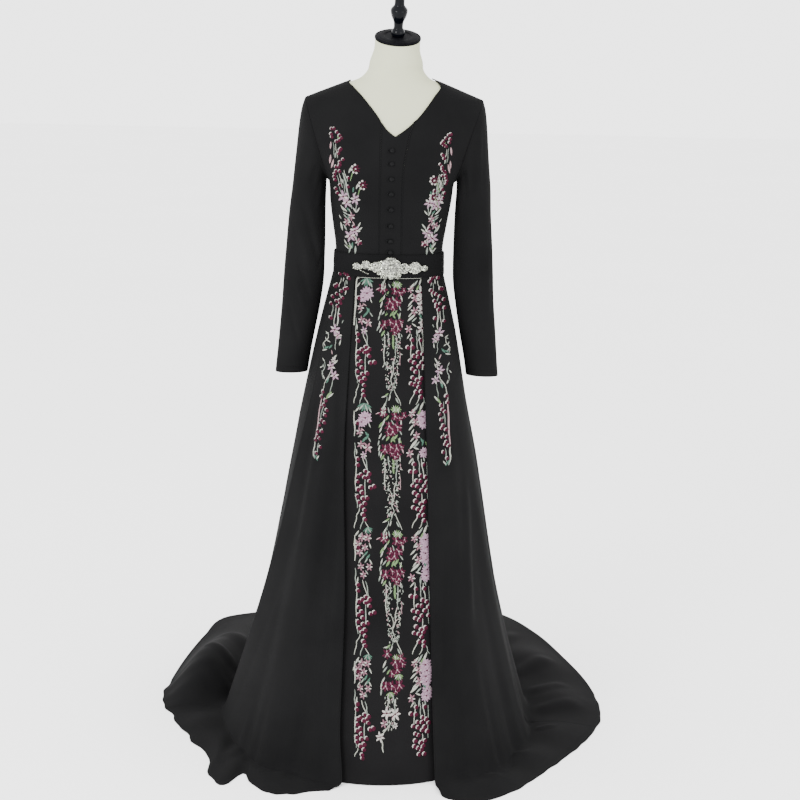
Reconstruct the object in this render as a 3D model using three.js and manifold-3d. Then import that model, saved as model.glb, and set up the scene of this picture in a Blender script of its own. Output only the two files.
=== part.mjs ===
// Kaftan with a split overskirt and a train, worn by a limbless dress form.
// Millimetres, +Z up, floor at z = 0, the front of the gown faces -Y.
import * as THREE from 'three';
import Module from 'manifold-3d';

const wasm = await Module();
wasm.setup();

// Cloth and seams
const CLOTH_WALL = 2;
const HALF_WALL = CLOTH_WALL / 2;
const SEAM_GAP = 0.4;
const HALF_SEAM = SEAM_GAP / 2;

// Heights of the gown
const WAIST_Z = 1030;
const SKIRT_TOP_Z = 1028;
const BELT_TOP_Z = 1076;
const BODICE_BOTTOM_Z = 1031;
const UNDERARM_Z = 1227;
const SHOULDER_TIP_Z = 1402;
const NECK_POINT_Z = 1438;
const V_POINT_Z = 1325;
const BACK_NECK_Z = 1424;
const NECK_HALF = 99;

// Armhole: a flat loop that leans out from the underarm to the shoulder tip
const UNDERARM_REACH = 135;
const SHOULDER_REACH = 190;
const ARM_DEEP = 58;
const ARM_MID_Z = (UNDERARM_Z + SHOULDER_TIP_Z) / 2;
const ARM_HALF = (SHOULDER_TIP_Z - UNDERARM_Z) / 2;
// Places of the seam points round one half of the armhole, degrees from the underarm
const ARM_ANGLES = [0, 28, 56, 84, 110, 134, 154, 169, 180];

// Power of the rounded sections of the body, 2 would be a plain ellipse
const ROUND = 2.2;
const QUARTER = Math.PI / 2;

// Sections of the body, half width and depth to the front and back at each height.
// The row at 1390 only carries the shoulder slope on past its tip.
const SECTIONS = [
  { z: 880, half: 132, front: 108, back: 108 },
  { z: 960, half: 122, front: 98, back: 97 },
  { z: 1030, half: 117, front: 95, back: 88 },
  { z: 1056, half: 116.5, front: 95, back: 88 },
  { z: 1085, half: 116, front: 96, back: 88 },
  { z: 1135, half: 123, front: 106, back: 92 },
  { z: 1186, half: 130.5, front: 117, back: 97 },
  { z: 1227, half: 135, front: 121, back: 102 },
  { z: 1300, half: 160, front: 110, back: 106 },
  { z: 1350, half: 190, front: 92, back: 100 },
  { z: 1390, half: 218, front: 72, back: 82 },
  { z: 1402, half: 190, front: 66, back: 75 },
  { z: 1425, half: 133, front: 56, back: 59 },
  { z: 1438, half: 100, front: 51, back: 52 },
  { z: 1447, half: 77, front: 49, back: 49 },
  { z: 1468, half: 59, front: 48, back: 47 },
  { z: 1505, half: 50, front: 48, back: 47 },
];

// The figure leans a little to the right toward the neck
const LEAN = [
  { z: 1056, side: 0 },
  { z: 1160, side: 1 },
  { z: 1227, side: 3 },
  { z: 1402, side: 5 },
  { z: 1530, side: 10 },
];

// Neck edge, distance from the leaning middle line at each height
const NECK_EDGE = [
  { z: 1325, left: -9, right: 9 },
  { z: 1340, left: 12.5, right: 29.5 },
  { z: 1371, left: 36, right: 58 },
  { z: 1397, left: 58, right: 77 },
  { z: 1411, left: 71, right: 86 },
  { z: 1438, left: 100, right: 100 },
];

// Button placket: its left seam is straight, its right seam bows out below the neck
const PLACKET_LEFT = -20;
const PLACKET_LEFT_TOP_Z = 1353;
const PLACKET_RIGHT_TOP_Z = 1356;
const PLACKET_RIGHT = [
  { z: 1031, x: 27 },
  { z: 1250, x: 27 },
  { z: 1310, x: 36 },
  { z: 1356, x: 47 },
];

// Sleeve stations from the armhole to the cuff: outer line, inner line, half depth
const SLEEVE = [
  { outX: 190, outZ: 1402, inX: 135, inZ: 1227, deep: 58 },
  { outX: 197, outZ: 1378, inX: 140.5, inZ: 1230, deep: 58 },
  { outX: 202, outZ: 1342, inX: 142, inZ: 1221, deep: 54 },
  { outX: 206.5, outZ: 1293, inX: 142, inZ: 1200, deep: 49 },
  { outX: 212, outZ: 1235, inX: 141.5, inZ: 1168, deep: 44 },
  { outX: 217.5, outZ: 1168, inX: 141, inZ: 1125, deep: 40 },
  { outX: 223, outZ: 1100, inX: 141, inZ: 1070, deep: 38 },
  { outX: 228, outZ: 1030, inX: 142.5, inZ: 1012, deep: 37 },
  { outX: 232, outZ: 962, inX: 150, inZ: 957, deep: 35 },
  { outX: 237, outZ: 900, inX: 160, inZ: 900, deep: 33 },
  { outX: 241.5, outZ: 850, inX: 169, inZ: 852, deep: 30 },
  { outX: 246, outZ: 803, inX: 176.5, inZ: 805, deep: 27 },
];

// Overskirt: waist ring, the line where it meets the floor, and its hem outline
const SKIRT_LEAN = -1;
const WAIST_RING = { half: 119.8, front: 97.8, back: 90.8, round: 2.2 };
const FOOT_RING = { half: 351, front: 402, back: 430, round: 2 };
const FLARE = 0.045;
const HIP_SWELL = 0.02;
const BEND_FRONT = 30;
const BEND_BACK = 90;

// Hem on the floor, one row per lobe or dip: turn round the gown in degrees from the
// front, place on the floor, and how high the cloth humps up on its way there
const HEM = [
  { turn: -180, x: 0, y: 838, hump: 14 },
  { turn: -169, x: -165, y: 800, hump: 22 },
  { turn: -160, x: -300, y: 715, hump: 12 },
  { turn: -150, x: -432, y: 642, hump: 20 },
  { turn: -138, x: -468, y: 505, hump: 34 },
  { turn: -124, x: -496, y: 330, hump: 62 },
  { turn: -110, x: -511, y: 168, hump: 84 },
  { turn: -100, x: -515, y: 58, hump: 52 },
  { turn: -92, x: -486, y: -20, hump: 6 },
  { turn: -84, x: -452, y: -100, hump: 10 },
  { turn: -76, x: -412, y: -180, hump: 4 },
  { turn: -69, x: -366, y: -270, hump: 8 },
  { turn: -62, x: -352, y: -366, hump: 3 },
  { turn: -56, x: -316, y: -400, hump: 7 },
  { turn: -50, x: -284, y: -346, hump: 2 },
  { turn: -42, x: -244, y: -420, hump: 8 },
  { turn: -31, x: -180, y: -440, hump: 3 },
  { turn: -23, x: -138, y: -424, hump: 6 },
  { turn: -13, x: -84, y: -416, hump: 2 },
  { turn: 0, x: 0, y: -412, hump: 0 },
  { turn: 15, x: 116, y: -412, hump: 2 },
  { turn: 21, x: 148, y: -446, hump: 5 },
  { turn: 31, x: 222, y: -450, hump: 3 },
  { turn: 41, x: 290, y: -396, hump: 8 },
  { turn: 50, x: 335, y: -336, hump: 3 },
  { turn: 59, x: 380, y: -270, hump: 9 },
  { turn: 68, x: 422, y: -205, hump: 4 },
  { turn: 78, x: 464, y: -132, hump: 10 },
  { turn: 90, x: 508, y: -20, hump: 6 },
  { turn: 101, x: 516, y: 85, hump: 16 },
  { turn: 115, x: 502, y: 228, hump: 9 },
  { turn: 130, x: 462, y: 392, hump: 22 },
  { turn: 145, x: 404, y: 572, hump: 12 },
  { turn: 158, x: 318, y: 720, hump: 24 },
  { turn: 169, x: 175, y: 806, hump: 10 },
  { turn: 180, x: 0, y: 838, hump: 14 },
];

// Folds that hang from the waist: turn and half spread in degrees, reach out (+) or
// in (-) at the floor, and how far down they start as a share of the drop
const FOLDS = [
  { turn: -30, spread: 9, reach: -15, start: 0 },
  { turn: -45, spread: 12, reach: 13, start: 0.12 },
  { turn: 28, spread: 9, reach: -12, start: 0.2 },
  { turn: 42, spread: 12, reach: 14, start: 0.15 },
  { turn: 60, spread: 9, reach: -9, start: 0.4 },
  { turn: 90, spread: 24, reach: -16, start: 0.12 },
  { turn: 98, spread: 11, reach: 8, start: 0.45 },
  { turn: 113, spread: 9, reach: -15, start: 0.2 },
  { turn: 129, spread: 12, reach: 20, start: 0.12 },
  { turn: 146, spread: 11, reach: -20, start: 0.08 },
  { turn: 163, spread: 12, reach: 22, start: 0.05 },
  { turn: 181, spread: 11, reach: -18, start: 0.05 },
  { turn: -162, spread: 12, reach: 21, start: 0.06 },
  { turn: -145, spread: 11, reach: -19, start: 0.1 },
  { turn: -128, spread: 12, reach: 17, start: 0.2 },
  { turn: -104, spread: 9, reach: -11, start: 0.4 },
];

// Seam between the front and the back of the overskirt on each side, its turn at
// each step of the drop. The left one is a sharp fold that swings back near the floor.
const SIDE_SEAM = [
  { step: 0, left: -60, right: 79 },
  { step: 0.35, left: -62, right: 79 },
  { step: 0.6, left: -69, right: 80 },
  { step: 0.85, left: -82, right: 82 },
  { step: 1, left: -90, right: 84 },
  { step: 2, left: -94, right: 86 },
];
const CREASE_REACH = 11;
const CREASE_SPREAD = 13;

// Edges of the front opening of the overskirt, measured across the gown
const OPENING = [
  { step: 0, left: -71, right: 71 },
  { step: 0.35, left: -85, right: 90 },
  { step: 0.65, left: -77, right: 103 },
  { step: 1, left: -84, right: 122 },
  { step: 2, left: -84, right: 126 },
];

// Inner front panel behind the opening
const PANEL_TURN_TOP = 55;
const PANEL_TURN_FOOT = 27;
const PANEL_SHIFT = 3;
const PANEL_GAP_TOP = 2.6;
const PANEL_GAP_FOOT = 14;
const PANEL_GAP_SIDES = 20;

// Steps down the skirt: 0 waist, 1 floor line, 2 hem
const SKIRT_STEPS = [
  0, 0.05, 0.12, 0.2, 0.29, 0.38, 0.47, 0.56, 0.65, 0.74, 0.82, 0.89, 0.95, 1, 1.25, 1.6, 2,
];
const PANEL_STEPS = [0, 0.06, 0.13, 0.22, 0.32, 0.43, 0.55, 0.67, 0.79, 0.9, 1];

// Buttons on the placket and on the top of the inner panel
const BUTTON_RADIUS = 5;
const BUTTON_HIGH = 5;
const BODICE_BUTTONS = [
  { z: 1296, lift: 0.5 },
  { z: 1269, lift: 0 },
  { z: 1238, lift: -0.2 },
  { z: 1207, lift: 0 },
  { z: 1174, lift: 0.4 },
  { z: 1139, lift: 0.6 },
  { z: 1106, lift: 0.7 },
  { z: 1082, lift: 1.5 },
];
const PANEL_BUTTONS = [1017, 989, 956, 922];
const BUTTON_LINE_X = 4;
const BUTTON_LIFT = 0.7;

// Belt and its ornament
const BELT_INSIDE = 2.3;
const BELT_OUTSIDE = 4.5;
const ORNAMENT_GAP = 0.7;
const ORNAMENT_PLATE = 1.6;
const ORNAMENT_MID_Z = 1050;
const ORNAMENT_LEFT_X = -68;
const ORNAMENT_RIGHT_X = 77;
const ORNAMENT_END_HALF = 4.5;
const ORNAMENT_MID_HALF = 7.5;
const ORNAMENT_STEPS = 12;
const WIDE_BOSS = 15;
const WIDE_BOSS_LIFT = 1.6;
const BOSS_LIFT = 0.7;
// Bosses of the ornament: place across the belt, rise, half width, half height, depth
const BOSSES = [
  { x: -65, up: 0, wide: 9.5, tall: 7.5, deep: 4 },
  { x: -46, up: 4, wide: 10.5, tall: 9.5, deep: 4.5 },
  { x: -25, up: 0, wide: 12, tall: 12, deep: 5 },
  { x: 5, up: 2, wide: 22, tall: 20, deep: 7 },
  { x: 6, up: -18, wide: 9, tall: 7.5, deep: 4 },
  { x: 33, up: -2, wide: 11, tall: 12, deep: 5 },
  { x: 55, up: -1, wide: 14, tall: 13.5, deep: 4.5 },
  { x: 74, up: -2, wide: 8, tall: 6.5, deep: 4 },
];

// Dress form
const FORM_SHOULDER_GAP = 1.5;
const FORM_GAP = 2.2;
const FORM_BOTTOM_Z = 880;
const NECK_TILT = 20 * (Math.PI / 180);
const NECK_SWAY = 2 * (Math.PI / 180);
const NECK_TOP = { x: 10, y: -9, z: 1527, radius: 48 };
const CAP_RADIUS = 49.5;
const CAP_HIGH = 8;
const JOINT_GAP = 0.3;
const STAND_RADIUS = 140;
const POLE_RADIUS = 14;

// Profile of the turned knob on the neck cap, radius at each rise above the cap
const FINIAL = [
  { rise: 0, radius: 12.5 },
  { rise: 3, radius: 14 },
  { rise: 9, radius: 14.2 },
  { rise: 14, radius: 12.5 },
  { rise: 17, radius: 10.2 },
  { rise: 27, radius: 10.2 },
  { rise: 33, radius: 11.5 },
  { rise: 42, radius: 15.5 },
  { rise: 52, radius: 18 },
  { rise: 58, radius: 17.6 },
  { rise: 64, radius: 13 },
  { rise: 68, radius: 10.8 },
  { rise: 84, radius: 10.4 },
  { rise: 91, radius: 9 },
  { rise: 95, radius: 5.5 },
];

// Mesh counts
const FRONT_COLUMNS = 6;
const BACK_COLUMNS = 7;
const SIDE_ROWS = 5;
const ARM_ROWS = ARM_ANGLES.length - 1;
const BODICE_ROWS = SIDE_ROWS + ARM_ROWS;
const FRONT_SEAM_ROWS = 8;
const BACK_SEAM_ROWS = 9;
const PLACKET_COLUMNS = 4;
const SKIRT_FRONT_COLUMNS = 12;
const SKIRT_BACK_COLUMNS = 20;
const PANEL_COLUMNS = 10;
const BELT_SIDES = 40;
const FORM_SIDES = 28;

const radians = (degrees) => degrees * (Math.PI / 180);
const mix = (a, b, share) => a + (b - a) * share;
const clamp = (value, low, high) => Math.min(high, Math.max(low, value));
const signedPower = (value, power) => Math.sign(value) * Math.abs(value) ** power;
const smooth = (share) => share * share * (3 - 2 * share);

// Read one column of a table at any place, on a smooth curve through its rows
function lookup(rows, key, at, column) {
  const last = rows.length - 1;
  if (at <= rows[0][key]) return rows[0][column];
  if (at >= rows[last][key]) return rows[last][column];
  let i = 0;
  while (rows[i + 1][key] < at) i += 1;
  const slope = (a, b) => (rows[b][column] - rows[a][column]) / (rows[b][key] - rows[a][key]);
  const before = i > 0 ? slope(i - 1, i + 1) : slope(i, i + 1);
  const after = i + 2 <= last ? slope(i, i + 2) : slope(i, i + 1);
  const span = rows[i + 1][key] - rows[i][key];
  const t = (at - rows[i][key]) / span;
  const rise = smooth(t);
  const startPull = t * (1 - t) * (1 - t) * span * before;
  const endPull = t * t * (t - 1) * span * after;
  return mix(rows[i][column], rows[i + 1][column], rise) + startPull + endPull;
}

const leanAt = (z) => lookup(LEAN, 'z', z, 'side');
const depthAt = (z, back) => lookup(SECTIONS, 'z', z, back ? 'back' : 'front');

// Armhole loop: how deep and how far out it is at a height
function armDepth(z) {
  const rise = (z - ARM_MID_Z) / ARM_HALF;
  return ARM_DEEP * Math.sqrt(Math.max(0, 1 - rise * rise));
}

function armReach(z) {
  return mix(UNDERARM_REACH, SHOULDER_REACH, (z - UNDERARM_Z) / (SHOULDER_TIP_Z - UNDERARM_Z));
}

// Half width of the body, set so that its skin runs through the armhole loop
function halfWidth(z, back) {
  if (z <= UNDERARM_Z || z >= SHOULDER_TIP_Z) return lookup(SECTIONS, 'z', z, 'half');
  const share = (armDepth(z) / depthAt(z, back)) ** ROUND;
  return armReach(z) / (1 - share) ** (1 / ROUND);
}

// Point on the body skin, turn 0 at the front and a quarter turn at the right side
function torso(turn, z) {
  const back = Math.cos(turn) < 0;
  const x = halfWidth(z, back) * signedPower(Math.sin(turn), 2 / ROUND);
  const y = -depthAt(z, back) * signedPower(Math.cos(turn), 2 / ROUND);
  return new THREE.Vector3(leanAt(z) + x, y, z);
}

// Outward direction of any skin given as a function of two numbers
function normalOf(skin, a, b, stepA, stepB) {
  const alongA = skin(a + stepA, b).sub(skin(a - stepA, b));
  const alongB = skin(a, b + stepB).sub(skin(a, b - stepB));
  return alongA.cross(alongB).normalize();
}

const torsoNormal = (turn, z) => normalOf(torso, turn, z, 0.01, 0.5);

function turnOfReach(reach, z, back) {
  const share = clamp(Math.abs(reach) / halfWidth(z, back), 0, 1);
  const turn = Math.asin(share ** (ROUND / 2)) * Math.sign(reach);
  return back ? Math.sign(turn || 1) * Math.PI - turn : turn;
}

function turnOfArm(z, back) {
  const share = clamp(armDepth(z) / depthAt(z, back), 0, 1);
  const turn = Math.acos(share ** (ROUND / 2));
  return back ? Math.PI - turn : turn;
}

// Close a grid of points into one solid wall between two offsets along its normals
function wallFromGrid(points, normals, inside, outside, closedRound) {
  const rows = points.length;
  const columns = points[0].length;
  const corner = [];
  for (const offset of [outside, inside]) {
    for (let j = 0; j < rows; j += 1) {
      for (let i = 0; i < columns; i += 1) {
        corner.push(points[j][i].clone().addScaledVector(normals[j][i], offset));
      }
    }
  }
  const at = (layer, j, i) => layer * rows * columns + j * columns + (i % columns);
  const faces = [];
  const quad = (a, b, c, d) => faces.push([a, b, c], [a, c, d]);
  const lastColumn = closedRound ? columns : columns - 1;
  for (let j = 0; j < rows - 1; j += 1) {
    for (let i = 0; i < lastColumn; i += 1) {
      quad(at(0, j, i), at(0, j, i + 1), at(0, j + 1, i + 1), at(0, j + 1, i));
      quad(at(1, j, i), at(1, j + 1, i), at(1, j + 1, i + 1), at(1, j, i + 1));
    }
  }
  for (let i = 0; i < lastColumn; i += 1) {
    quad(at(0, 0, i), at(1, 0, i), at(1, 0, i + 1), at(0, 0, i + 1));
    const top = rows - 1;
    quad(at(0, top, i), at(0, top, i + 1), at(1, top, i + 1), at(1, top, i));
  }
  if (!closedRound) {
    for (let j = 0; j < rows - 1; j += 1) {
      quad(at(0, j, 0), at(0, j + 1, 0), at(1, j + 1, 0), at(1, j, 0));
      const end = columns - 1;
      quad(at(0, j, end), at(1, j, end), at(1, j + 1, end), at(0, j + 1, end));
    }
  }
  return geometryOf(corner, faces);
}

// Close a stack of rings into one solid body with a flat cap at each end
function solidFromRings(rings) {
  const count = rings[0].length;
  const corner = rings.flat();
  const faces = [];
  for (let j = 0; j < rings.length - 1; j += 1) {
    for (let i = 0; i < count; i += 1) {
      const next = (i + 1) % count;
      const a = j * count;
      const b = a + count;
      faces.push([a + i, a + next, b + next], [a + i, b + next, b + i]);
    }
  }
  for (const end of [0, rings.length - 1]) {
    const middle = new THREE.Vector3();
    rings[end].forEach((point) => middle.addScaledVector(point, 1 / count));
    corner.push(middle);
    const centre = corner.length - 1;
    for (let i = 0; i < count; i += 1) {
      const next = (i + 1) % count;
      const a = end * count;
      if (end === 0) faces.push([centre, a + next, a + i]);
      else faces.push([centre, a + i, a + next]);
    }
  }
  return geometryOf(corner, faces);
}

// Indexed geometry that always faces outward
function geometryOf(corner, faces) {
  let volume = 0;
  for (const [a, b, c] of faces) {
    volume += corner[a].dot(corner[b].clone().cross(corner[c]));
  }
  const order = volume < 0 ? faces.map(([a, b, c]) => [a, c, b]) : faces;
  const geometry = new THREE.BufferGeometry();
  const flat = corner.flatMap((point) => [point.x, point.y, point.z]);
  geometry.setAttribute('position', new THREE.Float32BufferAttribute(flat, 3));
  geometry.setIndex(order.flat());
  geometry.computeVertexNormals();
  return geometry;
}

// Solid of revolution about +Z from rows of radius and rise
function turned(profile, sides) {
  const rings = profile.map(({ radius, rise }) => {
    const ring = [];
    for (let i = 0; i < sides; i += 1) {
      const angle = (i / sides) * Math.PI * 2;
      ring.push(new THREE.Vector3(radius * Math.cos(angle), radius * Math.sin(angle), rise));
    }
    return ring;
  });
  return solidFromRings(rings);
}

const group = new THREE.Group();

function addPart(name, geometry, colour, roughness, metalness = 0) {
  const material = new THREE.MeshStandardMaterial({ color: colour, roughness, metalness });
  const mesh = new THREE.Mesh(geometry, material);
  mesh.name = name;
  group.add(mesh);
}

const BLACK_CLOTH = 0x262627;
const INNER_CLOTH = 0x2c2b2d;
const BELT_CLOTH = 0x222223;
const BUTTON_COLOUR = 0x151517;
const CRYSTAL = 0xe4e7ea;
const FORM_COVER = 0xd8d9ca;
const CAP_WOOD = 0x2a2623;
const FINIAL_LACQUER = 0x0e1016;
const STAND_STEEL = 0x3a3b3e;

// Outer edge of every bodice panel: side seam first, then the armhole
function outerEdge(row, back) {
  if (row <= SIDE_ROWS) {
    return { turn: QUARTER, z: mix(BODICE_BOTTOM_Z, UNDERARM_Z, row / SIDE_ROWS) };
  }
  const angle = radians(ARM_ANGLES[row - SIDE_ROWS]);
  const z = ARM_MID_Z - ARM_HALF * Math.cos(angle);
  if (row === BODICE_ROWS) return { turn: QUARTER, z: SHOULDER_TIP_Z };
  return { turn: turnOfArm(z, back), z };
}

function placketEdgeX(side, z) {
  return side < 0 ? PLACKET_LEFT : lookup(PLACKET_RIGHT, 'z', z, 'x');
}

const placketTopZ = (side) => (side < 0 ? PLACKET_LEFT_TOP_Z : PLACKET_RIGHT_TOP_Z);

// Inner edge of a front panel: placket seam first, then the neck edge
function frontInnerEdge(row, side) {
  const top = placketTopZ(side);
  if (row <= FRONT_SEAM_ROWS) {
    const z = mix(BODICE_BOTTOM_Z, top, row / FRONT_SEAM_ROWS);
    const reach = (placketEdgeX(side, z) - leanAt(z)) * side;
    return { turn: turnOfReach(reach, z, false), z };
  }
  if (row === BODICE_ROWS) return { turn: QUARTER, z: NECK_POINT_Z };
  const share = (row - FRONT_SEAM_ROWS) / (BODICE_ROWS - FRONT_SEAM_ROWS);
  const z = mix(top, NECK_POINT_Z, 1 - (1 - share) ** 2.2);
  const reach = lookup(NECK_EDGE, 'z', z, side < 0 ? 'left' : 'right');
  return { turn: turnOfReach(reach, z, false), z };
}

// Inner edge of a back panel: centre seam first, then the shallow back neck
function backInnerEdge(row) {
  if (row <= BACK_SEAM_ROWS) {
    return { turn: Math.PI, z: mix(BODICE_BOTTOM_Z, BACK_NECK_Z, row / BACK_SEAM_ROWS) };
  }
  if (row === BODICE_ROWS) return { turn: QUARTER, z: NECK_POINT_Z };
  const left = 1 - (row - BACK_SEAM_ROWS) / (BODICE_ROWS - BACK_SEAM_ROWS);
  const share = 1 - left ** 2;
  const reach = share * NECK_HALF;
  const z = mix(BACK_NECK_Z, NECK_POINT_Z, share ** 3);
  return { turn: turnOfReach(reach, z, true), z };
}

// Panel of the bodice between its inner and outer edges
function bodicePanel(side, back) {
  const columns = back ? BACK_COLUMNS : FRONT_COLUMNS;
  const points = [];
  const normals = [];
  for (let row = 0; row <= BODICE_ROWS; row += 1) {
    const inner = back ? backInnerEdge(row) : frontInnerEdge(row, side);
    const outer = outerEdge(row, back);
    const linePoints = [];
    const lineNormals = [];
    for (let column = 0; column <= columns; column += 1) {
      const share = column / columns;
      const turn = side * mix(inner.turn, outer.turn, share);
      const z = mix(inner.z, outer.z, share);
      const point = torso(turn, z);
      if (column === 0 && row <= FRONT_SEAM_ROWS) point.x += side * HALF_SEAM;
      if (column === columns && row <= SIDE_ROWS) point.y += back ? HALF_SEAM : -HALF_SEAM;
      if (row === BODICE_ROWS) point.y += back ? HALF_SEAM : -HALF_SEAM;
      linePoints.push(point);
      lineNormals.push(torsoNormal(turn, z));
    }
    points.push(linePoints);
    normals.push(lineNormals);
  }
  return wallFromGrid(points, normals, -HALF_WALL, HALF_WALL, false);
}

// Button placket between the two fronts, cut to the V of the neck
function neckEdgeZ(x) {
  let low = V_POINT_Z;
  let high = NECK_POINT_Z;
  for (let step = 0; step < 40; step += 1) {
    const z = (low + high) / 2;
    const offset = x - leanAt(z);
    const left = -lookup(NECK_EDGE, 'z', z, 'left');
    const right = lookup(NECK_EDGE, 'z', z, 'right');
    if (offset > left && offset < right) high = z;
    else low = z;
  }
  return low;
}

function placketPanel() {
  const points = [];
  const normals = [];
  for (let row = 0; row <= FRONT_SEAM_ROWS; row += 1) {
    const linePoints = [];
    const lineNormals = [];
    for (let column = 0; column <= PLACKET_COLUMNS; column += 1) {
      const share = column / PLACKET_COLUMNS;
      const topX = mix(PLACKET_LEFT, placketEdgeX(1, PLACKET_RIGHT_TOP_Z), share);
      let topZ = neckEdgeZ(topX);
      if (column === 0) topZ = PLACKET_LEFT_TOP_Z;
      if (column === PLACKET_COLUMNS) topZ = PLACKET_RIGHT_TOP_Z;
      const z = mix(BODICE_BOTTOM_Z, topZ, row / FRONT_SEAM_ROWS);
      const x = mix(placketEdgeX(-1, z), placketEdgeX(1, z), share);
      const turn = turnOfReach(x - leanAt(z), z, false);
      const point = torso(turn, z);
      if (column === 0) point.x += HALF_SEAM;
      if (column === PLACKET_COLUMNS) point.x -= HALF_SEAM;
      linePoints.push(point);
      lineNormals.push(torsoNormal(turn, z));
    }
    points.push(linePoints);
    normals.push(lineNormals);
  }
  return wallFromGrid(points, normals, -HALF_WALL, HALF_WALL, false);
}

// Sleeve: rings that turn from the armhole plane to the level cuff
function sleeveSkin(side, around, along) {
  const i = clamp(Math.floor(along), 0, SLEEVE.length - 2);
  const rows = SLEEVE.map((row, station) => ({ ...row, station }));
  const read = (column) => lookup(rows, 'station', clamp(along, 0, i + 1), column);
  const inner = new THREE.Vector3(read('inX'), 0, read('inZ'));
  const outer = new THREE.Vector3(read('outX'), 0, read('outZ'));
  const middle = inner.clone().lerp(outer, 0.5);
  const half = outer.clone().sub(inner).multiplyScalar(0.5);
  const point = middle.addScaledVector(half, -Math.cos(around));
  point.y = -read('deep') * Math.sin(around);
  point.x = point.x * side + leanAt(point.z);
  return point;
}

function sleevePanel(side) {
  const count = ARM_ROWS * 2;
  const armPlane = new THREE.Vector3(
    SHOULDER_TIP_Z - UNDERARM_Z,
    0,
    UNDERARM_REACH - SHOULDER_REACH,
  ).normalize();
  const points = [];
  const normals = [];
  for (let station = 0; station < SLEEVE.length; station += 1) {
    const ring = [];
    for (let i = 0; i < count; i += 1) {
      const degrees = i <= ARM_ROWS ? ARM_ANGLES[i] : 360 - ARM_ANGLES[count - i];
      const point = sleeveSkin(side, radians(degrees), station);
      if (station === 0) {
        const push = armPlane.clone().multiplyScalar(HALF_WALL + SEAM_GAP);
        push.x *= side;
        point.add(push);
      }
      ring.push(point);
    }
    points.push(ring);
  }
  for (let station = 0; station < SLEEVE.length; station += 1) {
    const before = points[Math.max(0, station - 1)];
    const after = points[Math.min(SLEEVE.length - 1, station + 1)];
    const ring = points[station];
    const middle = new THREE.Vector3();
    ring.forEach((point) => middle.addScaledVector(point, 1 / count));
    const line = ring.map((point, i) => {
      const round = ring[(i + 1) % count].clone().sub(ring[(i + count - 1) % count]);
      const down = after[i].clone().sub(before[i]);
      const normal = round.cross(down).normalize();
      if (normal.dot(point.clone().sub(middle)) < 0) normal.negate();
      return normal;
    });
    normals.push(line);
  }
  return wallFromGrid(points, normals, -HALF_WALL, HALF_WALL, true);
}

// Belt all round the waist
function beltRing() {
  const points = [];
  const normals = [];
  for (const z of [WAIST_Z + 0.3, BELT_TOP_Z]) {
    const ring = [];
    const ringNormals = [];
    for (let i = 0; i < BELT_SIDES; i += 1) {
      const turn = (i / BELT_SIDES) * Math.PI * 2;
      const normal = torsoNormal(turn, z);
      normal.z = 0;
      ring.push(torso(turn, z));
      ringNormals.push(normal.normalize());
    }
    points.push(ring);
    normals.push(ringNormals);
  }
  return wallFromGrid(points, normals, BELT_INSIDE, BELT_OUTSIDE, true);
}

// Frame of axes standing on the body skin at a place across the front
function frameOnTorso(x, z, offset) {
  const turn = turnOfReach(x - leanAt(z), z, false);
  const out = torsoNormal(turn, z);
  const place = torso(turn, z).addScaledVector(out, offset);
  return frameAt(place, out);
}

function frameAt(place, out) {
  const up = new THREE.Vector3(0, 0, 1);
  const across = up.clone().cross(out).normalize();
  const rise = out.clone().cross(across);
  return new THREE.Matrix4().makeBasis(across, rise, out).setPosition(place);
}

// Low dome with a flat back, in units of its own size
function domeGeometry(wide, tall, deep, sides, rings) {
  const profile = [{ radius: 1, rise: 0 }];
  for (let i = 1; i <= rings; i += 1) {
    const angle = (i / (rings + 0.35)) * QUARTER;
    profile.push({ radius: Math.cos(angle), rise: Math.sin(angle) });
  }
  return turned(profile, sides).scale(wide, tall, deep);
}

function toManifold(geometry) {
  return new wasm.Manifold(
    new wasm.Mesh({
      numProp: 3,
      vertProperties: Float32Array.from(geometry.attributes.position.array),
      triVerts: Uint32Array.from(geometry.index.array),
    }),
  );
}

function fromManifold(solid) {
  const mesh = solid.getMesh();
  const geometry = new THREE.BufferGeometry();
  const position = [];
  for (let i = 0; i < mesh.numVert; i += 1) {
    for (let k = 0; k < 3; k += 1) position.push(mesh.vertProperties[i * mesh.numProp + k]);
  }
  geometry.setAttribute('position', new THREE.Float32BufferAttribute(position, 3));
  geometry.setIndex(Array.from(mesh.triVerts));
  geometry.computeVertexNormals();
  return geometry;
}

// Belt ornament: a thin curved plate with raised bosses joined to it
function ornament() {
  const plateOffset = BELT_OUTSIDE + ORNAMENT_GAP;
  const points = [];
  const normals = [];
  for (const level of [-1, 1]) {
    const line = [];
    const lineNormals = [];
    for (let i = 0; i <= ORNAMENT_STEPS; i += 1) {
      const x = mix(ORNAMENT_LEFT_X, ORNAMENT_RIGHT_X, i / ORNAMENT_STEPS);
      const middle = Math.cos((x / ORNAMENT_RIGHT_X) * QUARTER);
      const z = ORNAMENT_MID_Z + level * mix(ORNAMENT_END_HALF, ORNAMENT_MID_HALF, middle);
      const turn = turnOfReach(x - leanAt(z), z, false);
      line.push(torso(turn, z));
      lineNormals.push(torsoNormal(turn, z));
    }
    points.push(line);
    normals.push(lineNormals);
  }
  const inside = plateOffset;
  const outside = plateOffset + ORNAMENT_PLATE;
  let solid = toManifold(wallFromGrid(points, normals, inside, outside, false));
  for (const boss of BOSSES) {
    const sides = boss.wide > WIDE_BOSS ? 18 : 12;
    const dome = domeGeometry(boss.wide, boss.tall, boss.deep, sides, 2);
    const lift = boss.wide > WIDE_BOSS ? WIDE_BOSS_LIFT : BOSS_LIFT;
    dome.applyMatrix4(frameOnTorso(boss.x, ORNAMENT_MID_Z + boss.up, plateOffset + lift));
    solid = solid.add(toManifold(dome));
  }
  return fromManifold(solid);
}

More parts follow.
